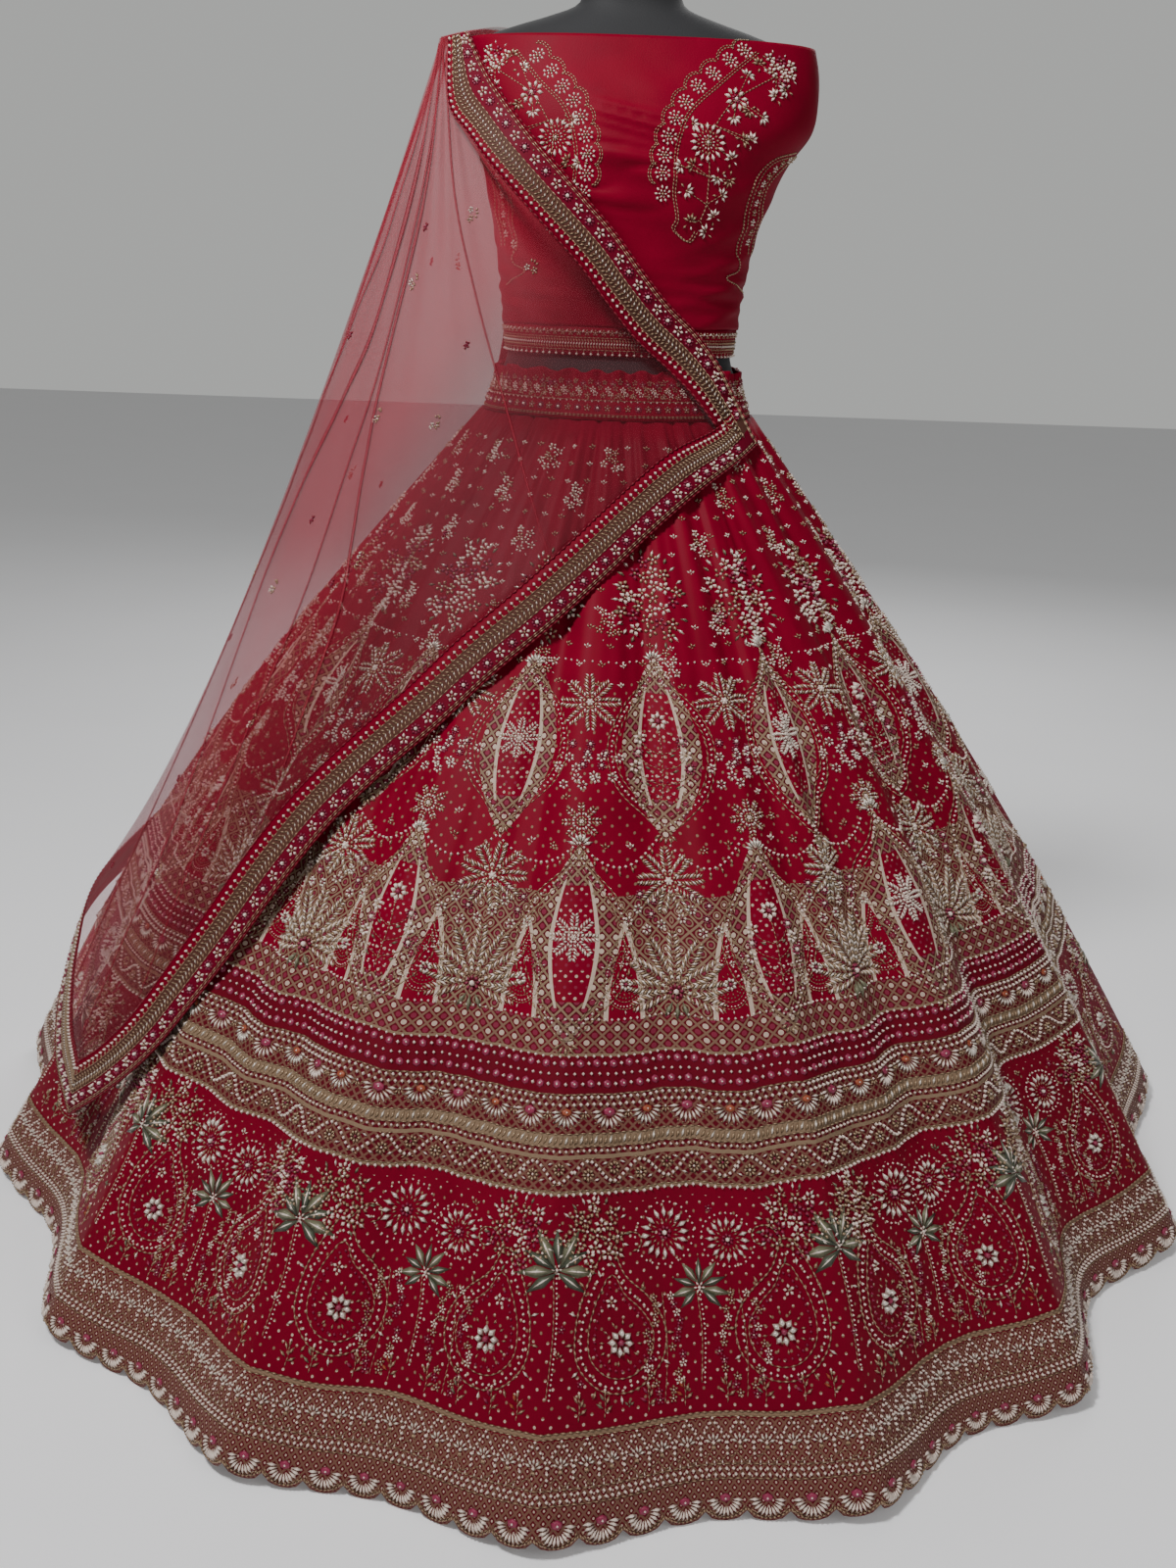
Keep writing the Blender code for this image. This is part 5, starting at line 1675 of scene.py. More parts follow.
def panel_sewing(shapes):
    """The lower panel: palms, paisleys, lotus rounds, cascades and small plants."""
    skirt, sewing = Wardrobe.get("skirt"), Sewing(shapes)
    taken = []
    for tall, drop, part, crown, room in ((150, 0.893, 0.02, 0.785, 0.048), (112, 0.895, 0.52, 0.82, 0.040)):
        on_kalis(sewing, taken, palm_tree(tall), drop, part, 0.030)
        taken += [(angle, crown, room) for angle in kali_marks(crown, part)[0]]
    for motif, drop, part, room, how in (
            (paisley(1), 0.842, 0.26, 0.066, {"turn": -6, "size": 1.12}),
            (paisley(1), 0.842, 0.77, 0.066, {"turn": 6, "size": 1.12, "mirror": True}),
            (lotus(58), 0.768, 0.40, 0.036, {}),
            (lotus(50), 0.775, 0.63, 0.033, {}),
            (cascade(104, 3), 0.908, 0.385, 0.036, {"size": 0.95}),
            (cascade(104, 4), 0.908, 0.655, 0.036, {"size": 0.95}),
            (flower_spray(62, 20, 5, (GOLD, IVORY, GOLD)), 0.765, 0.14, 0.040, {}),
            (flower_spray(62, 20, 6, (GOLD, IVORY, PINK)), 0.765, 0.87, 0.040, {})):
        on_kalis(sewing, taken, motif, drop, part, room, **how)
    for k, part in enumerate((0.11, 0.19, 0.33, 0.45, 0.59, 0.71, 0.83, 0.92)):
        on_kalis(sewing, taken, small_plant(k), 0.912, part, 0.016)
    scatter(sewing, skirt, 0.738, 0.916, 0.0265, taken,
            (sprig(10), ivory_flower(8, 5, PINK, IVORY), sprig(10, SAGE), sprig(9, IVORY)))
    return sewing.joined("sewing_panel")


def hem_sewing(shapes):
    """The hem: a double cord, arches, ivory cords and the scallops."""
    skirt, sewing = Wardrobe.get("skirt"), Sewing(shapes)
    for drop in (0.9195, 0.9235):
        cord_row(sewing, skirt, drop, GOLD, 2.2)
    angles, pitch = round_places(skirt, 0.958, 0.0255)
    sewing.lay(skirt, arch(pitch * 1000), angles, 0.958)
    cord_row(sewing, skirt, 0.9625, GOLD, 1.8)
    for drop in (0.9665, 0.9712):
        row_of(sewing, skirt, [bead(0, 0, 4.4, IVORY)], drop, 0.0064)
    cord_row(sewing, skirt, 0.9745, GOLD, 1.8)
    centres = skirt.u[:-1].reshape(-1, SCALLOP_STEPS)[:, SCALLOP_STEPS // 2]
    per_degree = skirt.scale(centres, np.full(len(centres), 0.999))[0]
    widths = np.repeat(np.diff(FOLD_ENDS) / SCALLOPS, SCALLOPS) * per_degree
    sewing.lay(skirt, scallop_fan(40.0), centres, 0.9985, size=np.clip(widths / 0.041, 0.75, 1.15))
    return sewing.joined("sewing_hem")


def waistband_sewing(shapes):
    """The waistband's flowers, its lower row of rounds and its cord."""
    band, sewing = Wardrobe.get("waistband"), Sewing(shapes)
    row_of(sewing, band, pink_round(9.5) + moved(ivory_flower(9, 5, GOLD, IVORY), 11.5, 0), 0.24, 0.023)
    row_of(sewing, band, [bead(0, 0, 2.6, IVORY)], 0.38, 0.0075)
    for row, share in enumerate((0.50, 0.62, 0.74)):
        large = ivory_flower(8.0, 5, (GOLD, IVORY, PINK)[row], IVORY)
        small = ivory_flower(7.0, 5, (IVORY, GOLD, GOLD)[row], PINK)
        row_of(sewing, band, large + moved(small, 8.5, 2), share, 0.0175, 0.3 * row)
    for share in (0.07, 0.10, 0.40):
        cord_row(sewing, band, share, GOLD, 1.5, 5.0)
    draw = np.random.default_rng(5)
    spots = draw.random((260, 2))
    sewing.lay(band, petals(2, 0.4, 4.2, 1.8, GOLD, 30, 110), spots[:, 0] * 360, 0.42 + 0.40 * spots[:, 1],
               turn=draw.random(260) * 360)
    return sewing.joined("sewing_waistband")


def choli_spot(x, z):
    """The choli's angle at a height where it is x from its middle, seen from the front."""
    angles = np.linspace(-89, 89, 357)
    line = Wardrobe.get("choli")
    across = line.read(line.points, angles, np.full(len(angles), z))[:, 0]
    return float(np.interp(x, across, angles))


def on_choli(sewing, motif, places, **how):
    for x, z in places:
        sewing.lay(Wardrobe.get("choli"), motif, choli_spot(x, z), z, **how)


def choli_line(sewing, places, step, width, thread):
    """A line of stitches over the choli through places given as x and height."""
    cloth = Wardrobe.get("choli")
    knots = [cloth.read(cloth.points, np.array([choli_spot(x, z)]), np.array([z]))[0] for x, z in places]
    length = smooth_line(knots, [0, 1])[1]
    count = max(2, int(round(length * 1000 / step)))
    line = smooth_line(knots, np.linspace(0, 1, count + 1))[0]
    for a, b in zip(line[:-1], line[1:]):
        middle = (a + b) / 2
        angle = math.degrees(math.atan2(middle[0], -middle[1]))
        flat = math.hypot(b[0] - a[0], b[1] - a[1])
        ahead = 1 if (b[0] * -a[1] + b[1] * a[0]) >= 0 else -1
        turn = math.degrees(math.atan2(b[2] - a[2], ahead * flat))
        reach = np.linalg.norm(b - a) * LINE_STITCH
        sewing.lay(cloth, [stitch(0, 0, turn, reach, width, thread)], angle, middle[2])


def rosette(size=19.0):
    """The choli's medallion: a small ivory flower in rings of petals."""
    made = petals(9, size * 0.26, size * 0.24, size * 0.17, IVORY, 20)
    made += petals(6, size * 0.08, size * 0.20, size * 0.13, SILVER)
    return made + [bead(0, 0, size * 0.22, GOLD)]


def sunflower(size=44.0):
    made = petals(16, size * 0.27, size * 0.21, size * 0.10, IVORY)
    made += petals(16, size * 0.20, size * 0.10, size * 0.05, GOLD, 11)
    made += petals(12, size * 0.11, size * 0.08, size * 0.05, SILVER, 4)
    return made + petals(8, size * 0.03, size * 0.08, size * 0.045, GOLD) + [bead(0, 0, 5, IVORY)]


# The choli's yoke and armhole lines, each place as x and height
MEDALLIONS = [(0.124, 1.339), (0.108, 1.328), (0.090, 1.313), (0.074, 1.299), (0.061, 1.282),
              (0.051, 1.265), (0.044, 1.246), (0.040, 1.227), (0.039, 1.209), (0.040, 1.188)]
MEDALLIONS_LEFT = [(-0.102, 1.326), (-0.086, 1.310), (-0.073, 1.294), (-0.060, 1.280), (-0.052, 1.263),
                   (-0.046, 1.245), (-0.043, 1.226), (-0.044, 1.206), (-0.047, 1.186)]
INNER_LINE = [(0.137, 1.339), (0.098, 1.305), (0.067, 1.276), (0.056, 1.252), (0.051, 1.224), (0.051, 1.191),
              (0.056, 1.163), (0.052, 1.153), (0.066, 1.141), (0.072, 1.141), (0.078, 1.151)]
INNER_LINE_LEFT = [(-0.125, 1.333), (-0.095, 1.299), (-0.074, 1.280), (-0.062, 1.261), (-0.056, 1.238),
                   (-0.054, 1.219), (-0.056, 1.187)]
SPRIGS = [(0.069, 1.260), (0.128, 1.313), (0.141, 1.326), (0.160, 1.294), (0.171, 1.301), (0.130, 1.277),
          (0.114, 1.269), (0.146, 1.271), (0.126, 1.246), (0.135, 1.247), (0.114, 1.227), (0.072, 1.218),
          (0.059, 1.217), (0.100, 1.207), (0.113, 1.205), (0.066, 1.192), (0.105, 1.189), (0.072, 1.161),
          (0.098, 1.167), (0.090, 1.151)]
STEM = [(0.160, 1.315), (0.116, 1.288), (0.094, 1.259), (0.087, 1.242), (0.090, 1.207), (0.089, 1.179),
        (0.083, 1.162)]
ARM_CORD = [(0.192, 1.241), (0.166, 1.231), (0.145, 1.210), (0.137, 1.186), (0.134, 1.159), (0.128, 1.130),
            (0.133, 1.112), (0.118, 1.102), (0.142, 1.087)]


def yoke_lines(sewing):
    """A line of rosettes on each side of the yoke, scalloped by cords, and the stem of its sprays."""
    for spots, inner, side in ((MEDALLIONS, INNER_LINE, 1), (MEDALLIONS_LEFT, INNER_LINE_LEFT, -1)):
        on_choli(sewing, rosette(), spots)
        for (x, z), (nx, nz) in zip(spots[:-1], spots[1:]):
            ax, az = unit(np.array([nx - x, nz - z]))
            out = np.array([az, -ax]) * side
            arc = [(x + ax * 0.011 * s + out[0] * c, z + az * 0.011 * s + out[1] * c)
                   for s, c in ((-1.0, 0.0075), (-0.55, 0.0120), (0.1, 0.0135), (0.7, 0.0115), (1.0, 0.0075))]
            choli_line(sewing, arc, 4.0, 1.8, GOLD)
            outer = [(px + out[0] * 0.0026, pz + out[1] * 0.0026) for px, pz in arc]
            choli_line(sewing, outer, 4.0, 1.5, GOLD)
        choli_line(sewing, inner, 4.0, 1.6, GOLD)
        choli_line(sewing, [(x + 0.003 * side, z - 0.001) for x, z in inner], 4.0, 1.6, GOLD)
        choli_line(sewing, [(x if side > 0 else -x * 0.93, z) for x, z in STEM], 4.5, 1.7, GOLD)


def yoke_sprays(sewing):
    """Flowers, and leaves on stalks that grow from the stem."""
    for side, shift in ((1, 0.0), (-1, 0.004)):
        def spot(x, z):
            return (x if side > 0 else -x * 0.95 + shift, z)
        on_choli(sewing, sunflower(), [spot(0.087, 1.242)])
        on_choli(sewing, petals(9, 5, 9, 5, IVORY) + pink_round(11), [spot(0.116, 1.288)])
        on_choli(sewing, flower_spray(36, 9, 3, (IVORY, PINK, IVORY, SILVER)), [spot(0.165, 1.322)])
        for k, (x, z) in enumerate(SPRIGS):
            turn = (k * 47) % 360
            leaf = (IVORY, SILVER, GOLD)[k % 3]
            motif = petals(5, 1.0, 8.5, 3.6, leaf, -80, 160) + [bead(0, 0, 3.0, GOLD)]
            motif += [stitch(-7, 4, 150, 6, 2.6, GOLD), stitch(-7, -4, 210, 6, 2.6, SILVER)]
            on_choli(sewing, motif, [spot(x, z)], turn=turn)
            near = min(STEM, key=lambda s: math.hypot(s[0] - x, s[1] - z))
            choli_line(sewing, [spot(x, z), spot(*near)], 4.5, 1.2, GOLD)
    on_choli(sewing, ivory_flower(11, 6, SILVER, GOLD) + [stitch(0, -8, 90, 5, 2.5, GOLD)], [(-0.124, 1.131)])


def armhole_cords(sewing):
    """Cords round each armhole and down its side, with small flowers between them."""
    for side in (1, -1):
        cord = [(x * (1 if side > 0 else -0.94), z) for x, z in ARM_CORD]
        choli_line(sewing, cord, 4.0, 2.6, GOLD)
        for shift, width in ((0.0045, 2.0), (0.0150, 2.0), (0.0190, 2.4)):
            choli_line(sewing, [(x + side * shift, z - 0.001) for x, z in cord[:6]], 4.0, width, GOLD)
        for k in range(12):
            x, z = smooth_line(np.array(cord[:6]), [0.06 + 0.075 * k])[0][0]
            flower = ivory_flower(9.5, 5, (GOLD, SILVER)[k % 2], IVORY)
            on_choli(sewing, flower, [(x + side * 0.010, z - 0.003)])


def choli_band_rows(sewing):
    """The choli's hem band: flowers, cords, three rows of braid and a row of beads."""
    band = Wardrobe.get("choli_band")
    middle = CHOLI_BOTTOM + 0.0165
    row_of(sewing, band, ivory_flower(7.6, 5, GOLD, IVORY) + [stitch(5, 1.5, 60, 5.4, 2.4, SILVER)],
           HEM_BAND_TOP - 0.006, 0.0095)
    cord_row(sewing, band, HEM_BAND_TOP - 0.0115, GOLD, 1.4, 5.0)
    for k in range(3):
        row_of(sewing, band, [stitch(0, 0, 62 if k % 2 else -62, 4.8, 2.3, SILVER if k == 1 else GOLD)],
               middle - 0.0035 * k, 0.0033)
    cord_row(sewing, band, CHOLI_BOTTOM + 0.0062, GOLD, 1.4, 5.0)
    row_of(sewing, band, [stitch(0, 1.6, 90, 3.4, 1.3, GOLD), bead(0, -1.4, 4.0, IVORY)],
           CHOLI_BOTTOM + 0.003, 0.0082)


def choli_sewing(shapes):
    """The sewing of the choli and its hem band, as one piece."""
    sewing = Sewing(shapes)
    for lay in (yoke_lines, yoke_sprays, armhole_cords, choli_band_rows):
        lay(sewing)
    return sewing.joined("sewing_choli")


def run_places(cloth, pitch, shift, across):
    """Coordinates along a strip evenly spaced by length."""
    u = np.linspace(cloth.u[0], cloth.u[-1], 1201)
    points = cloth.read(cloth.points, u, np.full(len(u), across))
    run = np.concatenate([[0], np.cumsum(np.linalg.norm(np.diff(points, axis=0), axis=1))])
    count = max(1, int(round(run[-1] / pitch)))
    return np.interp((np.arange(count) + shift) / count * run[-1], run, u)


def edge_sewing(sewing, cloth, mitred):
    """One run of the dupatta's border, from its outer edge in."""

    def row(motif, millimetres, pitch, shift=0.5):
        share = millimetres / (BORDER / MM)
        places = run_places(cloth, pitch * MM, shift, share)
        for end, sign, limit in ((mitred[0], 1, cloth.u[0]), (mitred[1], -1, cloth.u[-1])):
            if end:
                places = places[(places - limit) * sign >= share * 0.98]
        if len(places):
            sewing.lay(cloth, motif, places, share)

    for millimetres, thread, width in (
            (0.8, CRIMSON, 2.6), (3.4, GOLD, 1.8), (5.6, GOLD, 1.8), (22.2, GOLD, 1.8), (40.6, GOLD, 1.6),
            (54.2, CRIMSON, 2.6)):
        row([stitch(0, 0, 0, 10.8, width, thread)], millimetres, 8.0)
    flowers = pink_round(13.0) + moved(ivory_flower(13.5, 5, IVORY, GOLD), 17, 0)
    flowers += [bead(8.5, 5.2, 3.0, IVORY), bead(8.5, -5.2, 3.0, IVORY), bead(25.5, 5.0, 2.6, GOLD)]
    row(flowers, 13.9, 34.0, 0.25)
    for millimetres, lean in ((26.0, 58), (36.2, -58)):
        row([stitch(0, 0, lean, 7.2, 2.4, GOLD)], millimetres, 5.2)
    row([stitch(0, 1.2, 50, 5.4, 2.2, SILVER), stitch(0, -1.8, -50, 5.4, 2.0, GOLD)], 31.1, 5.8)
    row([stitch(0, 2.6, 90, 5.6, 2.6, GOLD), bead(0, -1.9, 4.8, IVORY)], 44.8, 8.0)


def edges_sewing(shapes, name, runs):
    sewing = Sewing(shapes)
    for cloth, mitred in runs:
        edge_sewing(sewing, Wardrobe.get(cloth), mitred)
    return sewing.joined(name)


# Narrow pleats of the net, each a line of places in its own grid from the shoulder down, and a width
NET_PLEATS = (
    ([(7.3, 11.9), (7.6, 10.5), (9.0, 7.25), (9.12, 5.75), (9.0, 4.62), (8.95, 3.6), (9.38, 2.38),
      (9.75, 1.1)], 0.0042),
    ([(8.0, 11.9), (8.1, 10.4), (9.3, 7.4), (10.12, 6.0), (10.75, 4.62), (11.75, 3.25), (12.5, 2.1),
      (12.9, 1.1)], 0.0030),
    ([(8.8, 11.9), (9.3, 10.3), (10.5, 8.2), (12.4, 7.0), (13.6, 6.0), (13.95, 5.0), (14.1, 4.0), (14.3, 3.0),
      (14.9, 1.9), (15.2, 1.1)], 0.0060),
    ([(10.5, 11.9), (11.5, 10.0), (13.5, 8.2), (15.6, 6.6), (16.4, 5.0), (16.6, 3.4), (16.4, 1.1)], 0.0035),
    ([(5.4, 11.9), (5.6, 9.5), (5.0, 7.0), (4.6, 4.5), (4.4, 1.1)], 0.0024),
)
PLEAT_STEPS = 90
# Small flowers on the net, by place in its grid, dark or gold
NET_DARK = [(7.62, 8.88), (12.88, 8.38), (5.5, 6.12), (11.5, 5.88), (9.5, 4.25), (15.5, 3.5), (17.5, 1.6),
            (3.4, 4.2), (6.3, 3.1), (18.4, 4.1), (20.6, 6.2), (22.5, 3.2), (24.0, 6.5)]
NET_GOLD = [(8.12, 8.12), (9.0, 6.38), (8.62, 4.12), (12.75, 5.38), (14.25, 2.62), (11.62, 3.5), (4.6, 8.4),
            (2.6, 6.6), (6.6, 5.2), (16.8, 5.6), (19.6, 2.6), (21.5, 4.6), (25.2, 4.4)]


def pleat_piece(net):
    """Ribbons of doubled net along the pleats."""
    verts, faces = [], []
    for places, width in NET_PLEATS:
        line = smooth_line(places, np.linspace(0, 1, PLEAT_STEPS))[0]
        point, _, _, normal = net.frames(line[:, 0], line[:, 1])
        ahead = unit(np.gradient(point, axis=0))
        side = np.cross(normal, ahead)
        steps = np.arange(PLEAT_STEPS)
        taper = np.clip(np.minimum(steps, steps[::-1]) / 12, 0.25, 1)[:, None]
        start = len(verts)
        for across, lift in ((-0.5, 0.0012), (0.0, 0.0024), (0.5, 0.0012), (0.0, 0.0004)):
            verts.extend((point + side * width * across * taper + normal * lift).tolist())
        rails = [start + side * PLEAT_STEPS for side in range(4)]
        for k in steps[:-1].tolist():
            for a, b in zip(rails, rails[1:] + rails[:1]):
                faces.append([a + k, b + k, b + k + 1, a + k + 1])
        faces += [rails[:1] + rails[:0:-1], [rail + PLEAT_STEPS - 1 for rail in rails]]
    mesh = bpy.data.meshes.new("net_pleats")
    mesh.from_pydata(verts, [], faces)
    mesh.shade_smooth()
    mesh.materials.append(pleat_finish())
    return add_piece("net_pleats", mesh, "crimson_net")


def net_sewing(shapes):
    """Small flowers spaced over the net."""
    net, sewing = Wardrobe.get("net_front"), Sewing(shapes)
    dark = ivory_flower(10, 5, CRIMSON, CRIMSON) + petals(5, 0, 3, 2.2, PINK, 54)
    gold = moved(ivory_flower(9, 5, GOLD, IVORY), 0, 5) + moved(ivory_flower(8, 5, SILVER, GOLD), 3, -4)
    gold += petals(3, 5, 5, 2.4, GOLD, 160, 60)
    for motif, places in ((dark, NET_DARK), (gold, NET_GOLD)):
        spots = np.array(places)
        sewing.lay(net, motif, spots[:, 0], spots[:, 1], turn=40 * np.sin(spots[:, 0] * 5))
    back = Wardrobe.get("net_back")
    spots = np.array([(5 + 5 * (k % 4) + 2.5 * (k // 4 % 2), 1.5 + 1.25 * (k // 4)) for k in range(24)])
    sewing.lay(back, dark, spots[::2, 0], spots[::2, 1])
    sewing.lay(back, gold, spots[1::2, 0], spots[1::2, 1])
    return sewing.joined("sewing_net")


# Studio

def aim(location, target):
    return (Vector(target) - Vector(location)).to_track_quat("-Z", "Y")


def build_studio():
    studio = bpy.context.scene.lehenga_studio
    data = bpy.data.cameras.new("camera")
    data.sensor_width, data.lens = CAMERA_SENSOR, CAMERA_LENS
    data.clip_end = 50
    camera = bpy.data.objects.new("camera", data)
    camera.location = CAMERA_PLACE
    camera.rotation_mode = "QUATERNION"
    down = Euler((math.radians(90 - CAMERA_DOWN), 0, 0)).to_quaternion()
    camera.rotation_quaternion = down @ Quaternion((0, 0, 1), math.radians(CAMERA_ROLL))
    bpy.context.scene.collection.objects.link(camera)
    bpy.context.scene.camera = camera
    bpy.ops.mesh.primitive_plane_add(size=24, location=(0, 0, -0.0005))
    floor = bpy.context.active_object
    floor.name = "studio_floor"
    paint = Finish("studio_floor", Roughness=0.85, Emission_Strength=0.13, Emission_Color=(1, 1, 1, 1))
    mottle = paint.noise(3.0, 2.0)
    colour = tuple(studio.floor)
    paint.set(Base_Color=paint.mix(mottle, shade(colour, 0.97), shade(colour, 1.03)))
    floor.data.materials.append(paint.material)
    for name, place, size, power in (
            ("key", (-1.0, -1.35, 3.0), 0.45, studio.key_power),
            ("fill", (2.2, -2.4, 2.2), 1.6, studio.key_power * 0.22),
            ("rim", (0.6, 2.8, 2.8), 2.4, studio.key_power * 0.6)):
        lamp = bpy.data.lights.new(name, "AREA")
        lamp.size, lamp.energy = size, power
        light = bpy.data.objects.new(name, lamp)
        light.location = place
        light.rotation_mode = "QUATERNION"
        light.rotation_quaternion = aim(place, (0, 0, 0.9))
        bpy.context.scene.collection.objects.link(light)
    world = bpy.data.worlds.new("studio")
    world.use_nodes = True
    tree = world.node_tree
    tree.nodes["Background"].inputs[0].default_value = (0.80, 0.81, 0.79, 1)
    seen = tree.nodes.new("ShaderNodeLightPath")
    strength = tree.nodes.new("ShaderNodeMath")
    strength.operation = "MULTIPLY_ADD"
    strength.inputs[1].default_value, strength.inputs[2].default_value = 0.36, 0.19
    tree.links.new(seen.outputs["Is Camera Ray"], strength.inputs[0])
    tree.links.new(strength.outputs[0], tree.nodes["Background"].inputs[1])
    bpy.context.scene.world = world


# Dress form

def torso_cloth():
    """The torso's rings as in the part's source, with smooth ones between them."""
    angles = np.linspace(0, 360, 97)
    rings = [(row[0], section_radius(row[1:], angles)) for row in HIPS]
    for share in (0.5, 1.0):
        height = between(BAND_SEAM, BAND_TOP, share)
        rings.append((height, band_radius(angles, height) - RUFFLE_DEPTH * share - SILK - SEAT))
    for row in CHOLI[:-1]:
        inside = np.array((row[2], row[2], row[3], row[4])) - EASE
        rings.append((row[0], section_radius(inside, angles)))
    rings += [(row[0], section_radius(row[1:], angles)) for row in SHOULDERS]
    heights = np.array([ring[0] for ring in rings])
    radii = np.array([ring[1] for ring in rings])
    wanted = np.unique(np.concatenate([heights] + [
        np.linspace(a, b, 4) for a, b in zip(heights[:-1], heights[1:])]))[::-1]
    smooth = smooth_read(np.column_stack([heights, radii]), wanted)
    straight = np.stack([np.interp(wanted, heights, column) for column in radii.T], 1)
    hidden = (wanted < CHOLI_TOP - 0.03)[:, None]
    smooth = np.where(hidden, np.minimum(smooth, straight), smooth)
    return Cloth(angles, wanted, on_axis(angles[None], smooth, wanted[:, None]), ring=True)


def jersey_finish():
    finish = Finish("black_jersey", Roughness=0.75, Sheen_Weight=0.08)
    rib = finish.noise(700.0, 2.0)
    soft = finish.noise(12.0, 2.0)
    finish.set(Base_Color=finish.mix(soft, (0.0055, 0.0055, 0.0065), (0.011, 0.011, 0.013)))
    return finish.bump(rib, 0.0004, 0.6).material


def metal_finish():
    finish = Finish("black_enamel", Metallic=0.9)
    mottle = finish.noise(60.0, 3.0)
    finish.set(Base_Color=finish.mix(mottle, (0.010, 0.010, 0.011), (0.022, 0.022, 0.024)),
               Roughness=0.28 + mottle * 0.15)
    return finish.material


# Operators

class LEHENGA_OT_form(bpy.types.Operator):
    """Make the dress form's torso and finish its stand"""
    bl_idname = "lehenga.form"
    bl_label = "Dress form"

    def execute(self, context):
        cloth = torso_cloth()
        rows, columns = cloth.points.shape[0], cloth.points.shape[1] - 1
        index = np.arange(rows * columns).reshape(rows, columns)
        right = np.roll(index, -1, axis=1)
        quads = np.stack([index[:-1], index[1:], right[1:], right[:-1]], -1).reshape(-1, 4)
        faces = quads.tolist() + [index[0].tolist(), index[-1][::-1].tolist()]
        mesh = bpy.data.meshes.new("dress_form_torso")
        mesh.from_pydata(cloth.points[:, :columns].reshape(-1, 3).tolist(), [], faces)
        mesh.materials.append(jersey_finish())
        made = add_piece("dress_form_torso", mesh, "black_jersey", "form_torso")
        bpy.context.view_layer.objects.active = made
        made.select_set(True)
        bpy.ops.object.mode_set(mode="EDIT")
        bpy.ops.mesh.select_all(action="SELECT")
        bpy.ops.mesh.normals_make_consistent(inside=False)
        bpy.ops.object.mode_set(mode="OBJECT")
        bpy.ops.object.shade_smooth_by_angle(angle=math.radians(40))
        made.select_set(False)
        metal = metal_finish()
        for name in ("form_neck_cap", "form_pole", "form_base"):
            node = frame["nodes"][name]
            if node.material_slots:
                for slot in node.material_slots:
                    slot.material = metal
            else:
                node.data.materials.append(metal)
        return {"FINISHED"}


class LEHENGA_OT_skirt(bpy.types.Operator):
    """Make the lehenga and its waistband"""
    bl_idname = "lehenga.skirt"
    bl_label = "Lehenga"

    def execute(self, context):
        nodes = [f"lehenga_kali_{k + 1:02d}" for k in range(KALIS)]
        made = cloth_piece("lehenga_skirt", Wardrobe.get("skirt"), SILK, lehenga_finish(), "crimson_silk",
                           *nodes)
        silk, _ = silk_finish("choli_silk", tuple(context.scene.lehenga_cloth.silk))
        band = cloth_piece("lehenga_band", Wardrobe.get("waistband"), SILK, silk.material,
                           "crimson_silk", "lehenga_waistband")
        return {"FINISHED"}


class LEHENGA_OT_choli(bpy.types.Operator):
    """Make the choli and its hem band"""
    bl_idname = "lehenga.choli"
    bl_label = "Choli"

    def execute(self, context):
        silk = bpy.data.materials["choli_silk"]
        body = cloth_piece("choli_body", Wardrobe.get("choli"), SILK, silk, "crimson_silk",
                           "choli_front", "choli_back")
        hem = cloth_piece("choli_hem_band", Wardrobe.get("choli_band"), SILK, silk, "gold_border",
                          "choli_hem_band_front", "choli_hem_band_back")
        return {"FINISHED"}


class LEHENGA_OT_dupatta(bpy.types.Operator):
    """Make the dupatta's net, its shoulder tuck and its border strips"""
    bl_idname = "lehenga.dupatta"
    bl_label = "Dupatta"

    def execute(self, context):
        net = net_finish()
        silk = border_finish()
        front = cloth_piece("net_front", Wardrobe.get("net_front"), NET_WALL, net, "crimson_net",
                            "dupatta_net_front")
        pleats = pleat_piece(Wardrobe.get("net_front"))
        back = cloth_piece("net_back", Wardrobe.get("net_back"), NET_WALL, net, "crimson_net",
                           "dupatta_net_back")
        tuck = cloth_piece("shoulder_tuck", Wardrobe.get("tuck"), NET_WALL, net, "crimson_net",
                           "dupatta_shoulder_tuck")
        chest = Wardrobe.get("edge_chest")
        keep = chest.u >= 1
        trimmed = Cloth(chest.u[keep], chest.v, chest.points[:, keep])
        folded = {"border_back_right": 0.023, "border_back_left": 0.024}
        for name, cloth, node, flat in (
                ("border_chest", trimmed, "dupatta_border_chest", (0.60, BORDER)),
                ("border_end", Wardrobe.get("edge_end"), "dupatta_border_end", (1.17, BORDER)),
                ("border_side", Wardrobe.get("edge_side"), "dupatta_border_side", (1.74, BORDER)),
                ("border_back_right", Wardrobe.get("fall_right"), "dupatta_border_back_right",
                 (1.20, BORDER)),
                ("border_back_left", Wardrobe.get("fall_left"), "dupatta_border_back_left",
                 (1.16, BORDER)),
                ("border_back_end", Wardrobe.get("fall_end"), "dupatta_border_back_end", (0.43, BORDER))):
            made = cloth_piece(name, cloth, BORDER_WALL, silk, "gold_border", node)
            folded.get(name)
        return {"FINISHED"}


class LEHENGA_OT_studio(bpy.types.Operator):
    """Make the floor, the lights and the photograph's camera"""
    bl_idname = "lehenga.studio"
    bl_label = "Studio"

    def execute(self, context):
        build_studio()
        return {"FINISHED"}


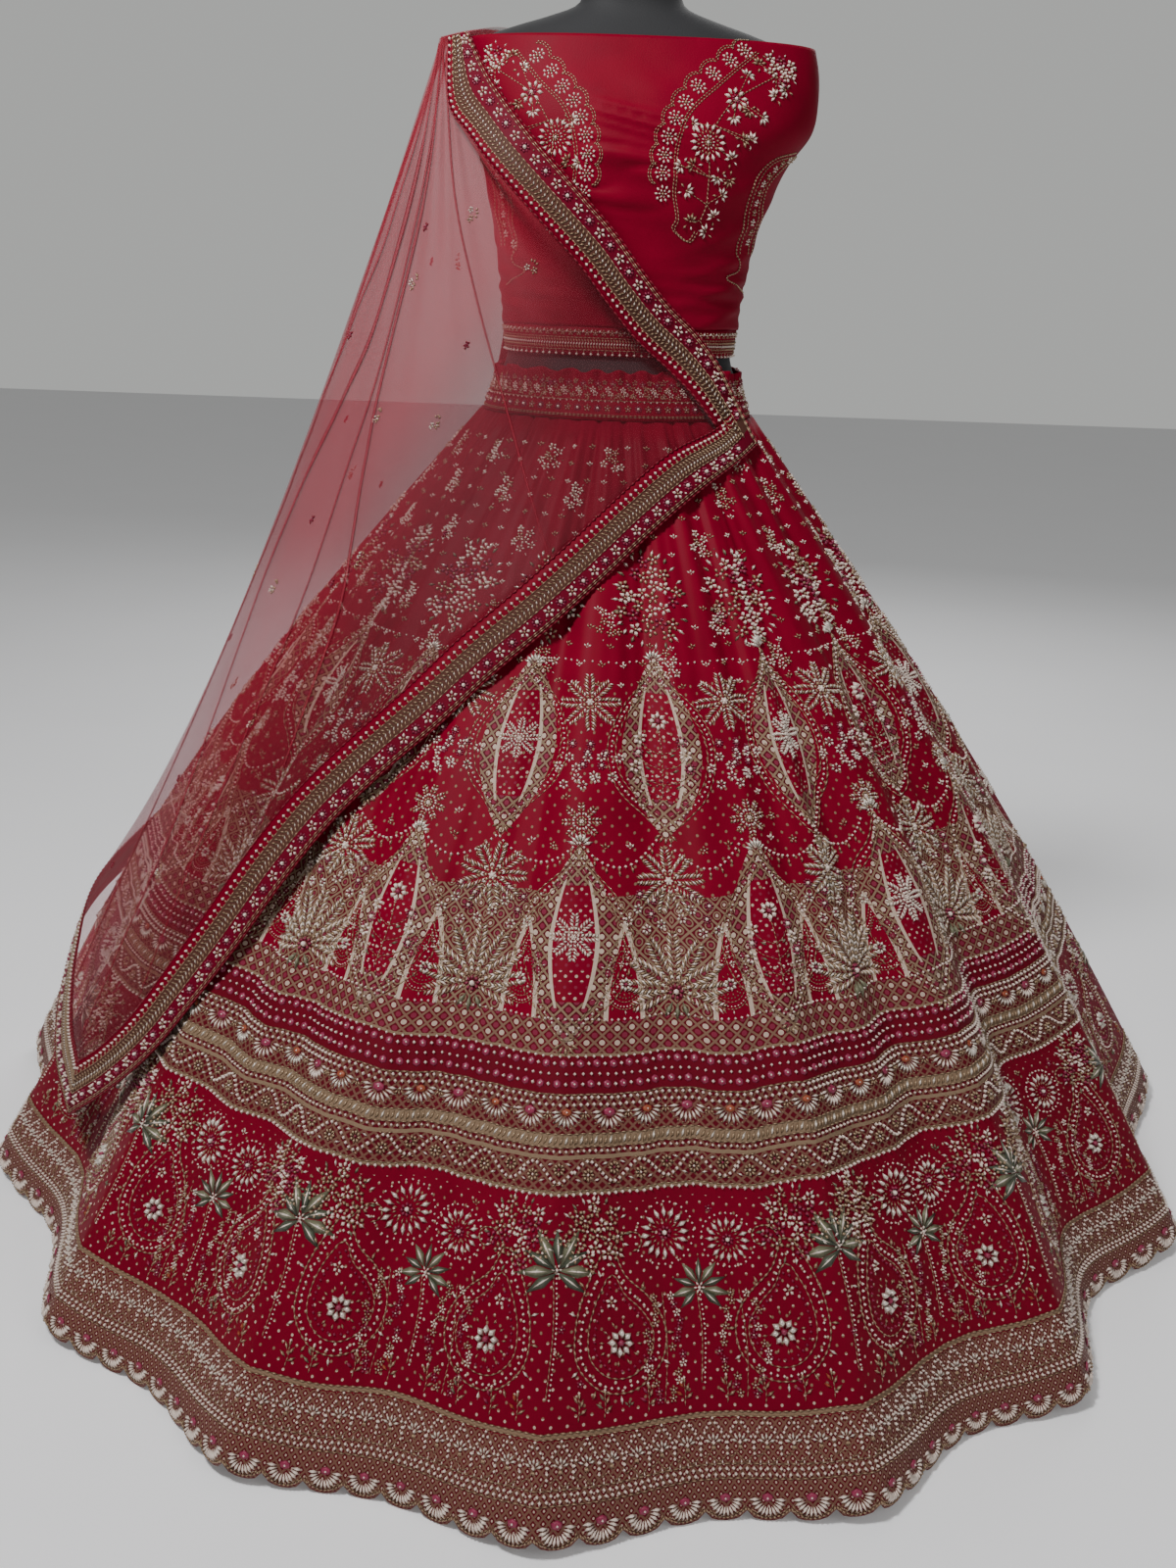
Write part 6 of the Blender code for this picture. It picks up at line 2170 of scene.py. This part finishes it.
class LEHENGA_OT_sewing(bpy.types.Operator):
    """Lay the stitches, beads and flowers on the cloths"""
    bl_idname = "lehenga.sewing"
    bl_label = "Sewing"

    def execute(self, context):
        shapes = stitch_shapes()
        for lay in (upper_sewing, garden_sewing, border_sewing, panel_sewing, hem_sewing,
                    waistband_sewing, choli_sewing, net_sewing):
            lay(shapes)
        edges_sewing(shapes, "sewing_dupatta_front", (
            ("edge_chest", (True, False)), ("edge_end", (True, False)), ("edge_side", (False, False))))
        edges_sewing(shapes, "sewing_dupatta_back", (
            ("fall_right", (False, False)), ("fall_left", (False, False)), ("fall_end", (False, False))))
        return {"FINISHED"}


OPERATORS = (LEHENGA_OT_studio, LEHENGA_OT_form, LEHENGA_OT_skirt, LEHENGA_OT_choli, LEHENGA_OT_dupatta,
             LEHENGA_OT_sewing)


class LEHENGA_PT_panel(bpy.types.Panel):
    """Lists the settings and the steps"""
    bl_idname = "LEHENGA_PT_panel"
    bl_label = "Lehenga choli"
    bl_space_type = "VIEW_3D"
    bl_region_type = "UI"
    bl_category = "Lehenga"

    def draw(self, context):
        for group in (context.scene.lehenga_cloth, context.scene.lehenga_sewing,
                      context.scene.lehenga_studio):
            for name in group.bl_rna.properties.keys():
                if name not in ("rna_type", "name"):
                    self.layout.prop(group, name)
        for operator in OPERATORS:
            self.layout.operator(operator.bl_idname)


CLASSES = (ClothSettings, SewingSettings, StudioSettings) + OPERATORS + (LEHENGA_PT_panel,)


def register():
    for cls in CLASSES:
        bpy.utils.register_class(cls)
    bpy.types.Scene.lehenga_cloth = bpy.props.PointerProperty(type=ClothSettings)
    bpy.types.Scene.lehenga_sewing = bpy.props.PointerProperty(type=SewingSettings)
    bpy.types.Scene.lehenga_studio = bpy.props.PointerProperty(type=StudioSettings)


def unregister():
    del bpy.types.Scene.lehenga_cloth, bpy.types.Scene.lehenga_sewing, bpy.types.Scene.lehenga_studio
    for cls in reversed(CLASSES):
        bpy.utils.unregister_class(cls)


def main():
    register()
    bpy.ops.object.select_all(action="DESELECT")
    bpy.ops.lehenga.studio()
    bpy.ops.lehenga.form()
    bpy.ops.lehenga.skirt()
    bpy.ops.lehenga.choli()
    bpy.ops.lehenga.dupatta()
    bpy.ops.lehenga.sewing()


if __name__ == "__main__":
    main()
